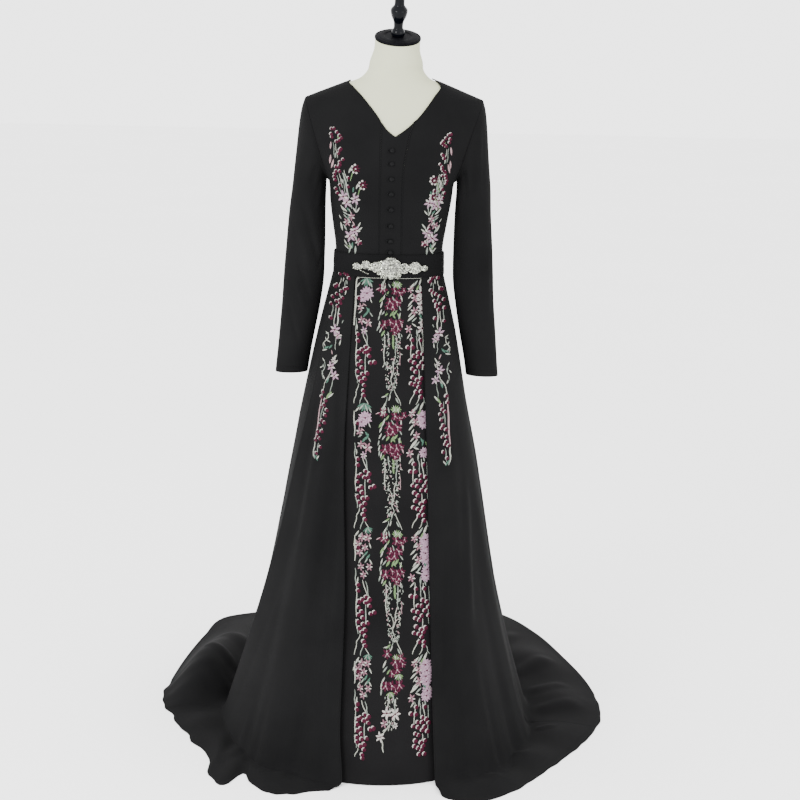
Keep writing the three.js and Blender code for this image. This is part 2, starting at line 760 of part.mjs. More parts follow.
// Share of the way out from the waist at a step of the drop
function flareAt(step) {
  const dip = FLARE * Math.sin(Math.PI * clamp(step, 0, 1) ** 1.5);
  return step - dip + HIP_SWELL * Math.sin(Math.PI * 2 * step);
}

const ringPoint = (ring, turn) => {
  const x = ring.half * signedPower(Math.sin(turn), 2 / ring.round);
  const depth = Math.cos(turn) < 0 ? ring.back : ring.front;
  const y = -depth * signedPower(Math.cos(turn), 2 / ring.round);
  return new THREE.Vector2(SKIRT_LEAN + x, y);
};

// Sum of the hanging folds, the sharp left side fold included
function foldReach(turn, step) {
  const degrees = turn / radians(1);
  let reach = 0;
  for (const fold of FOLDS) {
    let away = Math.abs(degrees - fold.turn);
    if (away > 180) away = 360 - away;
    if (away < fold.spread) {
      const grown = clamp((step - fold.start) / (1 - fold.start), 0, 1);
      reach += fold.reach * Math.cos((away / fold.spread) * QUARTER) ** 2 * grown ** 0.8;
    }
  }
  const seam = lookup(SIDE_SEAM, 'step', step, 'left');
  const away = Math.abs(degrees - seam);
  const grown = smooth(clamp((step - 0.12) / 0.4, 0, 1));
  const fade = 1 - smooth(clamp((step - 0.9) / 0.6, 0, 1));
  if (away < CREASE_SPREAD) {
    reach += CREASE_REACH * (1 - away / CREASE_SPREAD) ** 1.3 * grown * fade;
  }
  return reach;
}

// Keep a falling line above the floor, rounding its corner over a given span
function restOnFloor(height, bend) {
  if (height >= bend) return height;
  if (height <= -bend) return 0;
  return (height + bend) ** 2 / (4 * bend);
}

// Middle of the overskirt cloth at a turn and a step
function skirtSkin(turn, step) {
  const degrees = turn / radians(1);
  const waist = ringPoint(WAIST_RING, turn);
  const foot = ringPoint(FOOT_RING, turn);
  const hem = new THREE.Vector2(
    lookup(HEM, 'turn', degrees, 'x'),
    lookup(HEM, 'turn', degrees, 'y'),
  );
  const out = foot.clone().sub(waist).normalize();
  const run = foot.distanceTo(waist);
  const steep = SKIRT_TOP_Z / (run * (1 + Math.PI * (FLARE * 1.5 + HIP_SWELL * 2)));
  const backShare = smooth(clamp((Math.abs(degrees) - 90) / 70, 0, 1));
  const bend = mix(BEND_FRONT, BEND_BACK, backShare);
  const onFloor = clamp(step - 1, 0, 1);
  const place = waist.clone().lerp(foot, flareAt(Math.min(step, 1)));
  place.lerp(hem, onFloor);
  const fold = foldReach(turn, Math.min(step, 1)) * (1 - onFloor);
  place.addScaledVector(out, fold);
  const fall = step <= 1 ? SKIRT_TOP_Z * (1 - step) : -steep * foot.distanceTo(hem) * onFloor;
  const hump = lookup(HEM, 'turn', degrees, 'hump') * Math.sin(Math.PI * onFloor) ** 1.5;
  const z = HALF_WALL + hump + restOnFloor(fall, bend);
  return new THREE.Vector3(place.x, place.y, z);
}

const skirtNormal = (turn, step) => {
  const safe = clamp(step, 0.002, 1.998);
  const normal = normalOf((a, b) => skirtSkin(a, b), turn, safe, 0.004, 0.002).negate();
  const onFloor = skirtSkin(turn, step).z < HALF_WALL + 0.02;
  return onFloor ? new THREE.Vector3(0, 0, 1) : normal;
};

// Turn of the overskirt where it passes a given place across the gown
function turnAcross(x, step) {
  let low = -radians(80);
  let high = radians(80);
  for (let i = 0; i < 40; i += 1) {
    const turn = (low + high) / 2;
    if (skirtSkin(turn, step).x < x) low = turn;
    else high = turn;
  }
  return low;
}

// Turn of the edge of an overskirt panel
function edgeTurn(edge, step) {
  if (edge === 'openLeft') return turnAcross(lookup(OPENING, 'step', step, 'left'), step);
  if (edge === 'openRight') return turnAcross(lookup(OPENING, 'step', step, 'right'), step);
  if (edge === 'sideLeft') return radians(lookup(SIDE_SEAM, 'step', step, 'left'));
  if (edge === 'sideRight') return radians(lookup(SIDE_SEAM, 'step', step, 'right'));
  return edge === 'backLeft' ? -Math.PI : Math.PI;
}

// Panel of the overskirt from one edge to the next, going round to the right
function skirtPanel(fromEdge, toEdge, columns) {
  const points = [];
  const normals = [];
  for (const step of SKIRT_STEPS) {
    const linePoints = [];
    const lineNormals = [];
    const from = edgeTurn(fromEdge, step);
    const to = edgeTurn(toEdge, step);
    for (let column = 0; column <= columns; column += 1) {
      const turn = mix(from, to, column / columns);
      linePoints.push(skirtSkin(turn, step));
      lineNormals.push(skirtNormal(turn, step));
    }
    const first = linePoints[1].clone().sub(linePoints[0]).normalize();
    const last = linePoints[columns - 1].clone().sub(linePoints[columns]).normalize();
    linePoints[0].addScaledVector(first, HALF_SEAM);
    linePoints[columns].addScaledVector(last, HALF_SEAM);
    points.push(linePoints);
    normals.push(lineNormals);
  }
  return wallFromGrid(points, normals, -HALF_WALL, HALF_WALL, false);
}

// Inner front panel, hung inside the opening
function panelSkin(across, step) {
  const reach = mix(PANEL_TURN_TOP, PANEL_TURN_FOOT, flareAt(step) ** 0.6);
  const turn = radians(PANEL_SHIFT * step + across * reach);
  const waist = ringPoint(WAIST_RING, turn);
  const foot = ringPoint(FOOT_RING, turn);
  const out = foot.clone().sub(waist).normalize();
  const place = waist.lerp(foot, flareAt(step));
  const drop = step ** 0.7;
  const gap = mix(PANEL_GAP_TOP, PANEL_GAP_FOOT, drop) + PANEL_GAP_SIDES * drop * across ** 4;
  place.addScaledVector(out, -gap);
  const z = HALF_WALL + SEAM_GAP + SKIRT_TOP_Z * (1 - step);
  return new THREE.Vector3(place.x, place.y, z);
}

function panelNormal(across, step) {
  const safe = clamp(step, 0.002, 0.998);
  return normalOf(panelSkin, across, safe, 0.01, 0.002).negate();
}

function innerPanel() {
  const points = [];
  const normals = [];
  for (const step of PANEL_STEPS) {
    const linePoints = [];
    const lineNormals = [];
    for (let column = 0; column <= PANEL_COLUMNS; column += 1) {
      const across = mix(-1, 1, column / PANEL_COLUMNS);
      linePoints.push(panelSkin(across, step));
      lineNormals.push(panelNormal(across, step));
    }
    points.push(linePoints);
    normals.push(lineNormals);
  }
  return wallFromGrid(points, normals, -HALF_WALL, HALF_WALL, false);
}

// Buttons: low domes with flat backs
function buttonGeometry(frame) {
  const profile = [
    { radius: BUTTON_RADIUS * 0.7, rise: 0 },
    { radius: BUTTON_RADIUS, rise: BUTTON_HIGH * 0.4 },
    { radius: BUTTON_RADIUS * 0.72, rise: BUTTON_HIGH * 0.85 },
    { radius: BUTTON_RADIUS * 0.25, rise: BUTTON_HIGH },
  ];
  return turned(profile, 8).applyMatrix4(frame);
}

function panelButtonFrame(z) {
  const step = 1 - z / SKIRT_TOP_Z;
  const place = panelSkin(0.005, step);
  place.x = BUTTON_LINE_X;
  const out = panelNormal(0.005, step);
  return frameAt(place.addScaledVector(out, HALF_WALL + BUTTON_LIFT), out);
}

// Dress form: rings of the body, cut flat at the armholes, then the tilted neck
function formRing(z) {
  const ring = [];
  const onShoulder = smooth(clamp((z - 1380) / 22, 0, 1));
  for (let i = 0; i < FORM_SIDES; i += 1) {
    const turn = (i / FORM_SIDES) * Math.PI * 2;
    const gap = mix(FORM_GAP, FORM_SHOULDER_GAP, onShoulder);
    const point = torso(turn, z);
    point.addScaledVector(torsoNormal(turn, z), -HALF_WALL - gap);
    if (z > UNDERARM_Z - 30) {
      const limit = Math.min(armReach(z), SHOULDER_REACH) - 5;
      point.x = clamp(point.x, leanAt(z) - limit, leanAt(z) + limit);
    }
    ring.push(point);
  }
  return ring;
}

function neckRing(share) {
  const tilt = NECK_TILT * share;
  const sway = NECK_SWAY * share;
  const low = { x: leanAt(1462), y: -1, z: 1462 };
  const radiusX = mix(60, NECK_TOP.radius, smooth(clamp(share * 1.25, 0, 1)));
  const radiusY = mix(47.5, NECK_TOP.radius, share);
  const ring = [];
  for (let i = 0; i < FORM_SIDES; i += 1) {
    const turn = (i / FORM_SIDES) * Math.PI * 2;
    const point = new THREE.Vector3(radiusX * Math.sin(turn), -radiusY * Math.cos(turn), 0);
    point.applyAxisAngle(new THREE.Vector3(1, 0, 0), tilt);
    point.applyAxisAngle(new THREE.Vector3(0, 1, 0), sway);
    point.x += mix(low.x, NECK_TOP.x, share);
    point.y += mix(low.y, NECK_TOP.y, share);
    point.z += mix(low.z, NECK_TOP.z, share);
    ring.push(point);
  }
  return ring;
}

function formTorso() {
  const heights = [
    FORM_BOTTOM_Z, 960, 1030, 1080, 1135, 1186, 1222, 1262, 1305, 1345, 1378, 1398, 1410, 1422, 1432,
    1440, 1448,
  ];
  const rings = heights.map(formRing);
  for (const share of [0, 0.3, 0.65, 1]) rings.push(neckRing(share));
  return solidFromRings(rings);
}

// Axes of the tilted neck top
function neckFrame(rise) {
  const frame = new THREE.Matrix4();
  frame.makeRotationY(NECK_SWAY);
  frame.multiply(new THREE.Matrix4().makeRotationX(NECK_TILT));
  const up = new THREE.Vector3(0, 0, 1).applyMatrix4(frame);
  const place = new THREE.Vector3(NECK_TOP.x, NECK_TOP.y, NECK_TOP.z);
  return frame.setPosition(place.addScaledVector(up, rise));
}

function neckCap() {
  const profile = [
    { radius: CAP_RADIUS - 2, rise: 0 },
    { radius: CAP_RADIUS, rise: 2 },
    { radius: CAP_RADIUS, rise: 5 },
    { radius: CAP_RADIUS - 3, rise: 7.4 },
    { radius: CAP_RADIUS - 18, rise: CAP_HIGH },
    { radius: CAP_RADIUS - 22, rise: CAP_HIGH - 1.4 },
    { radius: 8, rise: CAP_HIGH - 1.4 },
  ];
  return turned(profile, 28).applyMatrix4(neckFrame(JOINT_GAP));
}

function finial() {
  const base = JOINT_GAP + CAP_HIGH - 1.4 + JOINT_GAP;
  return turned(FINIAL, 16).applyMatrix4(neckFrame(base));
}

function stand() {
  const profile = [
    { radius: STAND_RADIUS, rise: 0 },
    { radius: STAND_RADIUS, rise: 6 },
    { radius: STAND_RADIUS - 12, rise: 12 },
    { radius: POLE_RADIUS + 10, rise: 18 },
    { radius: POLE_RADIUS, rise: 32 },
    { radius: POLE_RADIUS, rise: FORM_BOTTOM_Z - JOINT_GAP },
  ];
  return turned(profile, 24);
}

addPart('form_stand', stand(), STAND_STEEL, 0.45, 0.8);
addPart('form_torso', formTorso(), FORM_COVER, 0.85);
addPart('form_neck_cap', neckCap(), CAP_WOOD, 0.45);
addPart('form_finial', finial(), FINIAL_LACQUER, 0.15);
addPart('bodice_front_left', bodicePanel(-1, false), BLACK_CLOTH, 0.9);
addPart('bodice_front_right', bodicePanel(1, false), BLACK_CLOTH, 0.9);
addPart('bodice_back_left', bodicePanel(-1, true), BLACK_CLOTH, 0.9);
addPart('bodice_back_right', bodicePanel(1, true), BLACK_CLOTH, 0.9);
addPart('bodice_placket', placketPanel(), BLACK_CLOTH, 0.9);
addPart('sleeve_left', sleevePanel(-1), BLACK_CLOTH, 0.9);
addPart('sleeve_right', sleevePanel(1), BLACK_CLOTH, 0.9);
addPart('belt', beltRing(), BELT_CLOTH, 0.8);
addPart('belt_ornament', ornament(), CRYSTAL, 0.1, 0.3);
addPart('inner_front_panel', innerPanel(), INNER_CLOTH, 0.85);
addPart(
  'overskirt_front_left',
  skirtPanel('sideLeft', 'openLeft', SKIRT_FRONT_COLUMNS),
  BLACK_CLOTH,
  0.9,
);
addPart(
  'overskirt_front_right',
  skirtPanel('openRight', 'sideRight', SKIRT_FRONT_COLUMNS),
  BLACK_CLOTH,
  0.9,
);
addPart(
  'overskirt_back_left',
  skirtPanel('backLeft', 'sideLeft', SKIRT_BACK_COLUMNS),
  BLACK_CLOTH,
  0.9,
);
addPart(
  'overskirt_back_right',
  skirtPanel('sideRight', 'backRight', SKIRT_BACK_COLUMNS),
  BLACK_CLOTH,
  0.9,
);

BODICE_BUTTONS.forEach(({ z, lift }, i) => {
  const frame = frameOnTorso(BUTTON_LINE_X, z, HALF_WALL + lift);
  addPart(`bodice_button_${i + 1}`, buttonGeometry(frame), BUTTON_COLOUR, 0.35);
});
PANEL_BUTTONS.forEach((z, i) => {
  addPart(`panel_button_${i + 1}`, buttonGeometry(panelButtonFrame(z)), BUTTON_COLOUR, 0.35);
});

export default group;
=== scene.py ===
# Looks of the long black kaftan on its dress form: cloth, embroidery, brooch and form
import math
import random
from collections import namedtuple
from functools import partial

import bpy
import numpy as np
from mathutils import Matrix, Vector


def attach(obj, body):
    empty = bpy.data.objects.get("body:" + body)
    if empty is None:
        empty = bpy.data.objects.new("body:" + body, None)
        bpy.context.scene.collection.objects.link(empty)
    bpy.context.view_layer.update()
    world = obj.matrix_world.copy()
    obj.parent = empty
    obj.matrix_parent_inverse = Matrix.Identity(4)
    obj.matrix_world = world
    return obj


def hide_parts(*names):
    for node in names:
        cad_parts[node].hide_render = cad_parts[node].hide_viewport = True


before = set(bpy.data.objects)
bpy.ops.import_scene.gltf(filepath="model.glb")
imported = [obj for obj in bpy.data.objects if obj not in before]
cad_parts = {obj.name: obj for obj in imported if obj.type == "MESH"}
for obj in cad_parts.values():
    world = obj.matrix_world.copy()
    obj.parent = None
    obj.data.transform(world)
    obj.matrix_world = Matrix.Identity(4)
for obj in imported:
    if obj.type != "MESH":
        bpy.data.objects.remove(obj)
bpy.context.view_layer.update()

# Everything is worked out in millimetres, as in the CAD, and made in metres
METRE = 0.001
QUARTER = math.pi / 2
CLOTH_HALF = 1.0
SEAM_GAP = 0.1
HALF_SEAM = SEAM_GAP / 2
ARMHOLE_PUSH = 0.4

# Heights and reaches of the gown
SKIRT_TOP_Z = 1028
BELT_BOTTOM_Z = 1027.3
BELT_TOP_Z = 1076
BODICE_BOTTOM_Z = 1031
UNDERARM_Z = 1227
SHOULDER_TIP_Z = 1402
NECK_POINT_Z = 1438
V_POINT_Z = 1325
BACK_NECK_Z = 1424
NECK_HALF = 99
UNDERARM_REACH = 135
SHOULDER_REACH = 190
ARM_DEEP = 58
ARM_MID_Z = (UNDERARM_Z + SHOULDER_TIP_Z) / 2
ARM_HALF = (SHOULDER_TIP_Z - UNDERARM_Z) / 2
ARM_ANGLES = [0, 28, 56, 84, 110, 134, 154, 169, 180]
ROUND = 2.2


def table(names, *rows):
    """Rows of numbers as named columns."""
    return dict(zip(names.split(), np.array(rows, float).T))


# Sections of the body, half width and depth to the front and back at each height
SECTIONS = table(
    "z half front back",
    (880, 132, 108, 108), (960, 122, 98, 97), (1030, 117, 95, 88), (1056, 116.5, 95, 88),
    (1085, 116, 96, 88), (1135, 123, 106, 92), (1186, 130.5, 117, 97), (1227, 135, 121, 102),
    (1300, 160, 110, 106), (1350, 190, 92, 100), (1390, 218, 72, 82), (1402, 190, 66, 75),
    (1425, 133, 56, 59), (1438, 100, 51, 52), (1447, 77, 49, 49), (1468, 59, 48, 47),
    (1505, 50, 48, 47),
)
LEAN = table("z side", (1056, 0), (1160, 1), (1227, 3), (1402, 5), (1530, 10))
NECK_EDGE = table(
    "z left right",
    (1325, -9, 9), (1340, 12.5, 29.5), (1371, 36, 58), (1397, 58, 77), (1411, 71, 86),
    (1427, 88, 97), (1438, 99, 92), (1447, 86, 79),
)
NECK_POINT = {-1: 1440, 1: 1446}
PLACKET_LEFT = -20
PLACKET_LEFT_TOP_Z = 1353
PLACKET_RIGHT_TOP_Z = 1356
PLACKET_RIGHT = table("z x", (1031, 27), (1250, 27), (1310, 36), (1356, 47))
SIDE_ROWS = 5
FRONT_SEAM_ROWS = 8
BACK_SEAM_ROWS = 9
BODICE_ROWS = SIDE_ROWS + len(ARM_ANGLES) - 1

# Sleeve stations from the armhole to the cuff
SLEEVE = table(
    "station outX outZ inX inZ deep",
    (0, 190, 1402, 135, 1227, 58), (1, 197, 1378, 140.5, 1230, 58), (2, 202, 1342, 142, 1221, 54),
    (3, 206.5, 1293, 142, 1200, 49), (4, 212, 1235, 141.5, 1168, 44),
    (5, 217.5, 1168, 141, 1125, 40), (6, 223, 1100, 141, 1070, 38),
    (7, 228, 1030, 142.5, 1012, 37), (8, 232, 962, 150, 957, 35), (9, 237, 900, 160, 900, 33),
    (10, 241.5, 850, 169, 852, 30), (11, 246, 803, 176.5, 805, 27),
)
CUFF = 11

# Overskirt: waist ring, the line where it meets the floor, and its hem outline
SKIRT_LEAN = -1
WAIST_RING = {"half": 119.8, "front": 97.8, "back": 90.8, "round": 2.2}
FOOT_RING = {"half": 351, "front": 402, "back": 430, "round": 2}
FLARE = 0.045
HIP_SWELL = 0.02
BEND_FRONT = 30
BEND_BACK = 90
HEM = table(
    "turn x y hump",
    (-180, 0, 838, 14), (-169, -165, 800, 22), (-160, -300, 715, 12), (-150, -432, 642, 20),
    (-138, -468, 505, 34), (-124, -496, 330, 62), (-110, -511, 168, 84), (-100, -515, 58, 52),
    (-92, -486, -20, 6), (-84, -452, -100, 10), (-76, -412, -180, 4), (-69, -366, -270, 8),
    (-62, -352, -366, 3), (-56, -316, -400, 7), (-50, -284, -346, 2), (-42, -244, -420, 8),
    (-31, -180, -440, 3), (-23, -138, -424, 6), (-13, -84, -416, 2), (0, 0, -412, 0),
    (15, 116, -412, 2), (21, 148, -446, 5), (31, 222, -450, 3), (41, 290, -396, 8),
    (50, 335, -336, 3), (59, 380, -270, 9), (68, 422, -205, 4), (78, 464, -132, 10),
    (90, 508, -20, 6), (101, 516, 85, 16), (115, 502, 228, 9), (130, 462, 392, 22),
    (145, 404, 572, 12), (158, 318, 720, 24), (169, 175, 806, 10), (180, 0, 838, 14),
)
HEM_RIPPLE = 3

# Folds that hang from the waist: where, half width in degrees, reach and first step
Fold = namedtuple("Fold", "turn spread reach start")
FOLDS = [
    Fold(*row)
    for row in (
        (-30, 9, -15, 0), (-45, 12, 13, 0.12), (28, 9, -12, 0.2), (42, 12, 14, 0.15),
        (60, 9, -9, 0.4), (90, 24, -16, 0.12), (98, 11, 8, 0.45), (113, 9, -15, 0.2),
        (129, 12, 20, 0.12), (146, 11, -20, 0.08), (163, 12, 22, 0.05), (181, 11, -18, 0.05),
        (-162, 12, 21, 0.06), (-145, 11, -19, 0.1), (-128, 12, 17, 0.2), (-104, 9, -11, 0.4),
    )
]
SIDE_SEAM = table(
    "step left right",
    (0, -60, 79), (0.35, -62, 79), (0.6, -69, 80), (0.85, -82, 82), (1, -90, 84), (2, -94, 86),
)
SIDE_FOLD_REACH = 11
SIDE_FOLD_SPREAD = 13
OPENING = table(
    "step left right",
    (0, -71, 71), (0.35, -85, 90), (0.65, -77, 103), (0.9, -80, 115), (1, -73, 120),
    (2, -98, 134),
)

# Inner front panel behind the opening
PANEL_TURN_TOP = 55
PANEL_TURN_FOOT = 27
PANEL_SHIFT = 3
PANEL_GAP_TOP = 2.6
PANEL_GAP_FOOT = 14
PANEL_GAP_SIDES = 20

# Creases laid one by one: a ridge (+) or trough (-) from one place to another, its half
# width and its height in millimetres. Skirt places are turn in degrees and step.
Crease = namedtuple("Crease", "a0 b0 a1 b1 spread rise")


def creases(*rows):
    return [Crease(*row) for row in rows]


SKIRT_CREASES = creases(
    (-42, 0.05, -26, 0.4, 15, -3.5), (-27, 0.36, -22, 0.96, 17, -4),
    (-34, 0.3, -40, 0.74, 30, 4.5), (-50, 0.1, -52, 0.62, 20, -2.5), (-33, 0.74, -36, 1.5, 24, 4),
    (-47, 0.8, -50, 1.4, 22, -4), (-58, 0.86, -62, 1.55, 24, 4), (44, 0.08, 38, 0.44, 20, -3),
    (57, 0.4, 42, 0.74, 26, 5), (40, 0.44, 28, 0.9, 20, -5), (33, 0.78, 29, 1.4, 18, -4),
    (38, 0.8, 41, 1.5, 22, 4), (46, 0.72, 51, 1.4, 24, -3.5), (55, 0.82, 60, 1.5, 26, 2.5),
    (66, 0.5, 70, 1.2, 28, -2.5), (77, 0.82, 86, 1.1, 24, -3), (78, 1.1, 82, 1.5, 12, 3.5),
    (93, 1.05, 99, 1.8, 38, 4.5), (108, 1.1, 112, 1.75, 32, 4), (121, 1.05, 128, 1.8, 40, 6),
    (140, 1.1, 148, 1.85, 34, 8), (-98, 1.06, -108, 1.6, 40, 5), (-113, 1.12, -118, 1.7, 34, 5),
    (-128, 1.05, -136, 1.8, 44, 8), (-146, 1.1, -156, 1.8, 34, 9), (-170, 1.1, -172, 1.85, 36, 8),
    (165, 1.05, 162, 1.8, 36, 10), (-84, 0.3, -96, 0.8, 28, -5), (-112, 0.2, -118, 0.78, 22, -4),
    (-140, 0.1, -136, 0.62, 20, 4), (-158, 0.14, -152, 0.8, 18, -4),
    (-176, 0.1, -174, 0.7, 18, 5), (92, 0.25, 90, 0.8, 24, 4), (106, 0.12, 104, 0.66, 20, -4),
    (122, 0.2, 120, 0.82, 18, 4), (152, 0.1, 156, 0.74, 18, -5), (172, 0.16, 170, 0.8, 20, -4),
)
# Places on the inner panel are share across and step
PANEL_CREASES = creases(
    (-0.86, 0.1, -0.8, 0.8, 20, -2.5), (-0.3, 0.2, -0.22, 0.9, 26, -3),
    (0.02, 0.34, 0.06, 0.96, 22, 2.5), (0.36, 0.24, 0.3, 0.9, 26, -3),
    (0.74, 0.4, 0.62, 0.96, 20, 2),
)
# Places on the bodice are turn in degrees and height
BODICE_CREASES = creases(
    (-66, 1258, -40, 1236, 13, 1.3), (-74, 1236, -50, 1196, 11, -0.9),
    (-62, 1106, -26, 1090, 8, 1.4), (-78, 1122, -52, 1094, 9, 1.2), (30, 1094, 62, 1110, 8, 1.4),
    (50, 1090, 80, 1118, 9, 1.1), (48, 1232, 72, 1262, 12, 1.3), (52, 1190, 76, 1232, 11, -0.9),
    (-24, 1392, -38, 1310, 18, 1.2), (28, 1390, 40, 1318, 18, 1.1),
    (112, 1250, 140, 1216, 13, 1.5), (-116, 1256, -144, 1224, 14, 1.5),
    (150, 1370, 160, 1180, 18, 1.6), (-152, 1374, -158, 1196, 18, 1.6),
    (118, 1112, 156, 1090, 9, 1.5), (-122, 1108, -160, 1092, 9, 1.4),
    (166, 1120, 196, 1104, 9, 1.3),
)
# Places on a sleeve are degrees round from the inner line and station
LEFT_SLEEVE_CREASES = creases(
    (116, 4.2, 34, 6.7, 13, -3.6), (128, 5, 62, 6.9, 11, 2.6), (112, 6.4, 62, 7.8, 8, -2.8),
    (120, 7, 72, 8.2, 8, 2.2), (139, 7.8, 74, 9.6, 9, -2.6), (64, 1.6, 86, 4, 12, -2.6),
    (40, 2.4, 58, 4.6, 9, 2.2), (12, 5.8, 52, 6.8, 8, -2.2), (232, 3.8, 318, 6.4, 13, -3),
    (224, 6.2, 300, 7.6, 10, 2.6), (246, 7.6, 312, 8.8, 10, -2.4), (290, 1.4, 270, 4.2, 12, -2.4),
    (196, 4, 206, 8, 14, 2),
)
RIGHT_SLEEVE_CREASES = creases(
    (119, 0.5, 100, 5, 14, 2.8), (90, 1, 82, 4.6, 11, -2), (136, 6.3, 128, 8.7, 12, 2.6),
    (112, 6, 104, 8.4, 10, -2.2), (118, 8.7, 84, 8.9, 6, -2), (46, 0.8, 70, 4.6, 12, -3),
    (30, 2.4, 52, 5.2, 9, 2.2), (16, 5.6, 56, 6.6, 8, -2), (228, 3.6, 306, 6, 13, -2.8),
    (238, 6.4, 304, 7.8, 10, 2.4), (250, 8, 310, 9, 9, -2.2), (286, 1.2, 272, 4.4, 12, -2.4),
    (190, 3.4, 202, 7.6, 14, 2),
)

# Buttons, belt and brooch
BUTTON_LINE_X = 4
BODICE_BUTTONS = table(
    "z lift",
    (1296, 0.5), (1269, 0), (1238, -0.2), (1207, 0), (1174, 0.4), (1139, 0.6), (1106, 0.7),
    (1082, 1.5),
)
PANEL_BUTTONS = [1017, 989, 956, 922]
BUTTON_RADIUS = 4.9
BUTTON_LIFT = 0.7
BELT_INSIDE = 2.3
BELT_OUTSIDE = 4.5
BELT_HALF = (BELT_OUTSIDE - BELT_INSIDE) / 2
ORNAMENT_GAP = 0.7
ORNAMENT_MID_Z = 1050
Boss = namedtuple("Boss", "x up wide tall deep")
BOSSES = [
    Boss(*row)
    for row in (
        (-65, 0, 9.5, 7.5, 4), (-46, 4, 10.5, 9.5, 4.5), (-25, 0, 12, 12, 5), (5, 2, 22, 20, 7),
        (6, -18, 9, 7.5, 4), (33, -2, 11, 12, 5), (55, -1, 14, 13.5, 4.5), (74, -2, 8, 6.5, 4),
    )
]
WIDE_BOSS = 15
WIDE_BOSS_LIFT = 1.6
BOSS_LIFT = 0.7
DOME_HIGH = 0.72
BOSS_SIDES = 40
GOLDEN = 0.618034
STONE_SIDES = 8
STONE_SINK = 0.2
STONE_ASKEW = 0.42
FILL_ASKEW = 0.4
MIDDLE_STONE = 4.4
# Rings of stones on a boss: share of its size and radius of a stone
WIDE_STONES = [(0.9, 2.0), (0.68, 2.2), (0.42, 2.3)]
SMALL_STONES = [(0.8, 1.8), (0.44, 1.9)]
# Clusters of small stones between the bosses: place across, rise, half sizes, number
FILLS = [
    (-57, -1, 5, 4, 7), (-36, 1, 7, 8, 15), (-12, 8, 8, 7, 14), (-14, -9, 10, 9, 24),
    (-7, -19, 9, 6, 14), (18, -17, 8, 7, 14), (22, 3, 6, 9, 14), (20, -9, 8, 6, 12),
    (44, -2, 7, 8, 14), (66, -2, 6, 7, 10),
]
FILL_STONE = 2.1
FILL_LIFT = 2.4
STRUT = ((-61, -6), (-41, -15))
STRUT_STONES = 9

# Dress form
FORM_GAP = 2.2
FORM_SHOULDER_GAP = 1.5
FORM_BOTTOM_Z = 880
NECK_BASE = {"half": 60, "deep": 47.5, "y": -1, "z": 1462}
NECK_TILT = math.radians(20)
NECK_SWAY = math.radians(2)
NECK_TOP = {"x": 10, "y": -9, "z": 1527, "radius": 48}
CAP_RADIUS = 49.5
CAP_HIGH = 8
CAP_DISH = 1.4
JOINT_GAP = 0.3
STAND_RADIUS = 140
POLE_RADIUS = 14
FINIAL = table(
    "rise radius",
    (0, 12.5), (3, 14), (9, 14.2), (14, 12.5), (17, 10.2), (27, 10.2), (33, 11.5), (42, 15.5),
    (52, 18), (58, 17.6), (64, 13), (68, 10.8), (84, 10.4), (91, 9), (95, 5.5),
)


# Sums on arrays
def mix(a, b, share):
    return a + (b - a) * share


def smooth(share):
    share = np.clip(share, 0, 1)
    return share * share * (3 - 2 * share)


def signed_power(value, power):
    return np.sign(value) * np.abs(value) ** power


def circle(count):
    return np.linspace(0, 2 * math.pi, count, endpoint=False)


def read(rows, key, at, column):
    """One column of a table at any place, on a smooth curve through its rows."""
    keys, values = rows[key], rows[column]
    tangent = np.empty_like(values)
    tangent[1:-1] = (values[2:] - values[:-2]) / (keys[2:] - keys[:-2])
    tangent[0] = (values[1] - values[0]) / (keys[1] - keys[0])
    tangent[-1] = (values[-1] - values[-2]) / (keys[-1] - keys[-2])
    at = np.clip(np.asarray(at, float), keys[0], keys[-1])
    i = np.clip(np.searchsorted(keys, at, side="right") - 1, 0, len(keys) - 2)
    span = keys[i + 1] - keys[i]
    t = (at - keys[i]) / span
    pull = t * (1 - t) ** 2 * span * tangent[i] + t * t * (t - 1) * span * tangent[i + 1]
    return mix(values[i], values[i + 1], t * t * (3 - 2 * t)) + pull


def through(points, share):
    """Smooth curve through a row of points, read at shares of its length."""
    at = np.linspace(0, 1, len(points))
    return np.stack([read({"at": at, "v": column}, "at", share, "v") for column in points.T], -1)


def halve(low, high, short):
    """Place between two limits where short stops being true."""
    for _ in range(36):
        middle = (low + high) / 2
        is_short = short(middle)
        low = np.where(is_short, middle, low)
        high = np.where(is_short, high, middle)
    return low


def unit(vectors):
    return vectors / np.maximum(np.linalg.norm(vectors, axis=-1, keepdims=True), 1e-9)


def normal_of(skin, a, b, step_a, step_b):
    """Direction across a skin given as a function of two numbers."""
    along_a = skin(a + step_a, b) - skin(a - step_a, b)
    along_b = skin(a, b + step_b) - skin(a, b - step_b)
    return unit(np.cross(along_a, along_b))


def moved_by(points, matrix):
    place = np.array(matrix)
    return points @ place[:3, :3].T + place[:3, 3]


# Body skin
def lean(z):
    return read(LEAN, "z", z, "side")


def depth_at(z, back):
    return np.where(back, read(SECTIONS, "z", z, "back"), read(SECTIONS, "z", z, "front"))


def arm_reach(z):
    return mix(UNDERARM_REACH, SHOULDER_REACH, (z - UNDERARM_Z) / (SHOULDER_TIP_Z - UNDERARM_Z))


def arm_depth(z):
    rise = (z - ARM_MID_Z) / ARM_HALF
    return ARM_DEEP * np.sqrt(np.maximum(0, 1 - rise * rise))


def half_width(z, back):
    share = np.minimum((arm_depth(z) / depth_at(z, back)) ** ROUND, 0.99)
    fitted = arm_reach(z) / (1 - share) ** (1 / ROUND)
    in_arm = (z > UNDERARM_Z) & (z < SHOULDER_TIP_Z)
    return np.where(in_arm, fitted, read(SECTIONS, "z", z, "half"))


def torso(turn, z):
    turn, z = np.broadcast_arrays(np.asarray(turn, float), np.asarray(z, float))
    back = np.cos(turn) < 0
    x = lean(z) + half_width(z, back) * signed_power(np.sin(turn), 2 / ROUND)
    y = -depth_at(z, back) * signed_power(np.cos(turn), 2 / ROUND)
    return np.stack([x, y, z], -1)


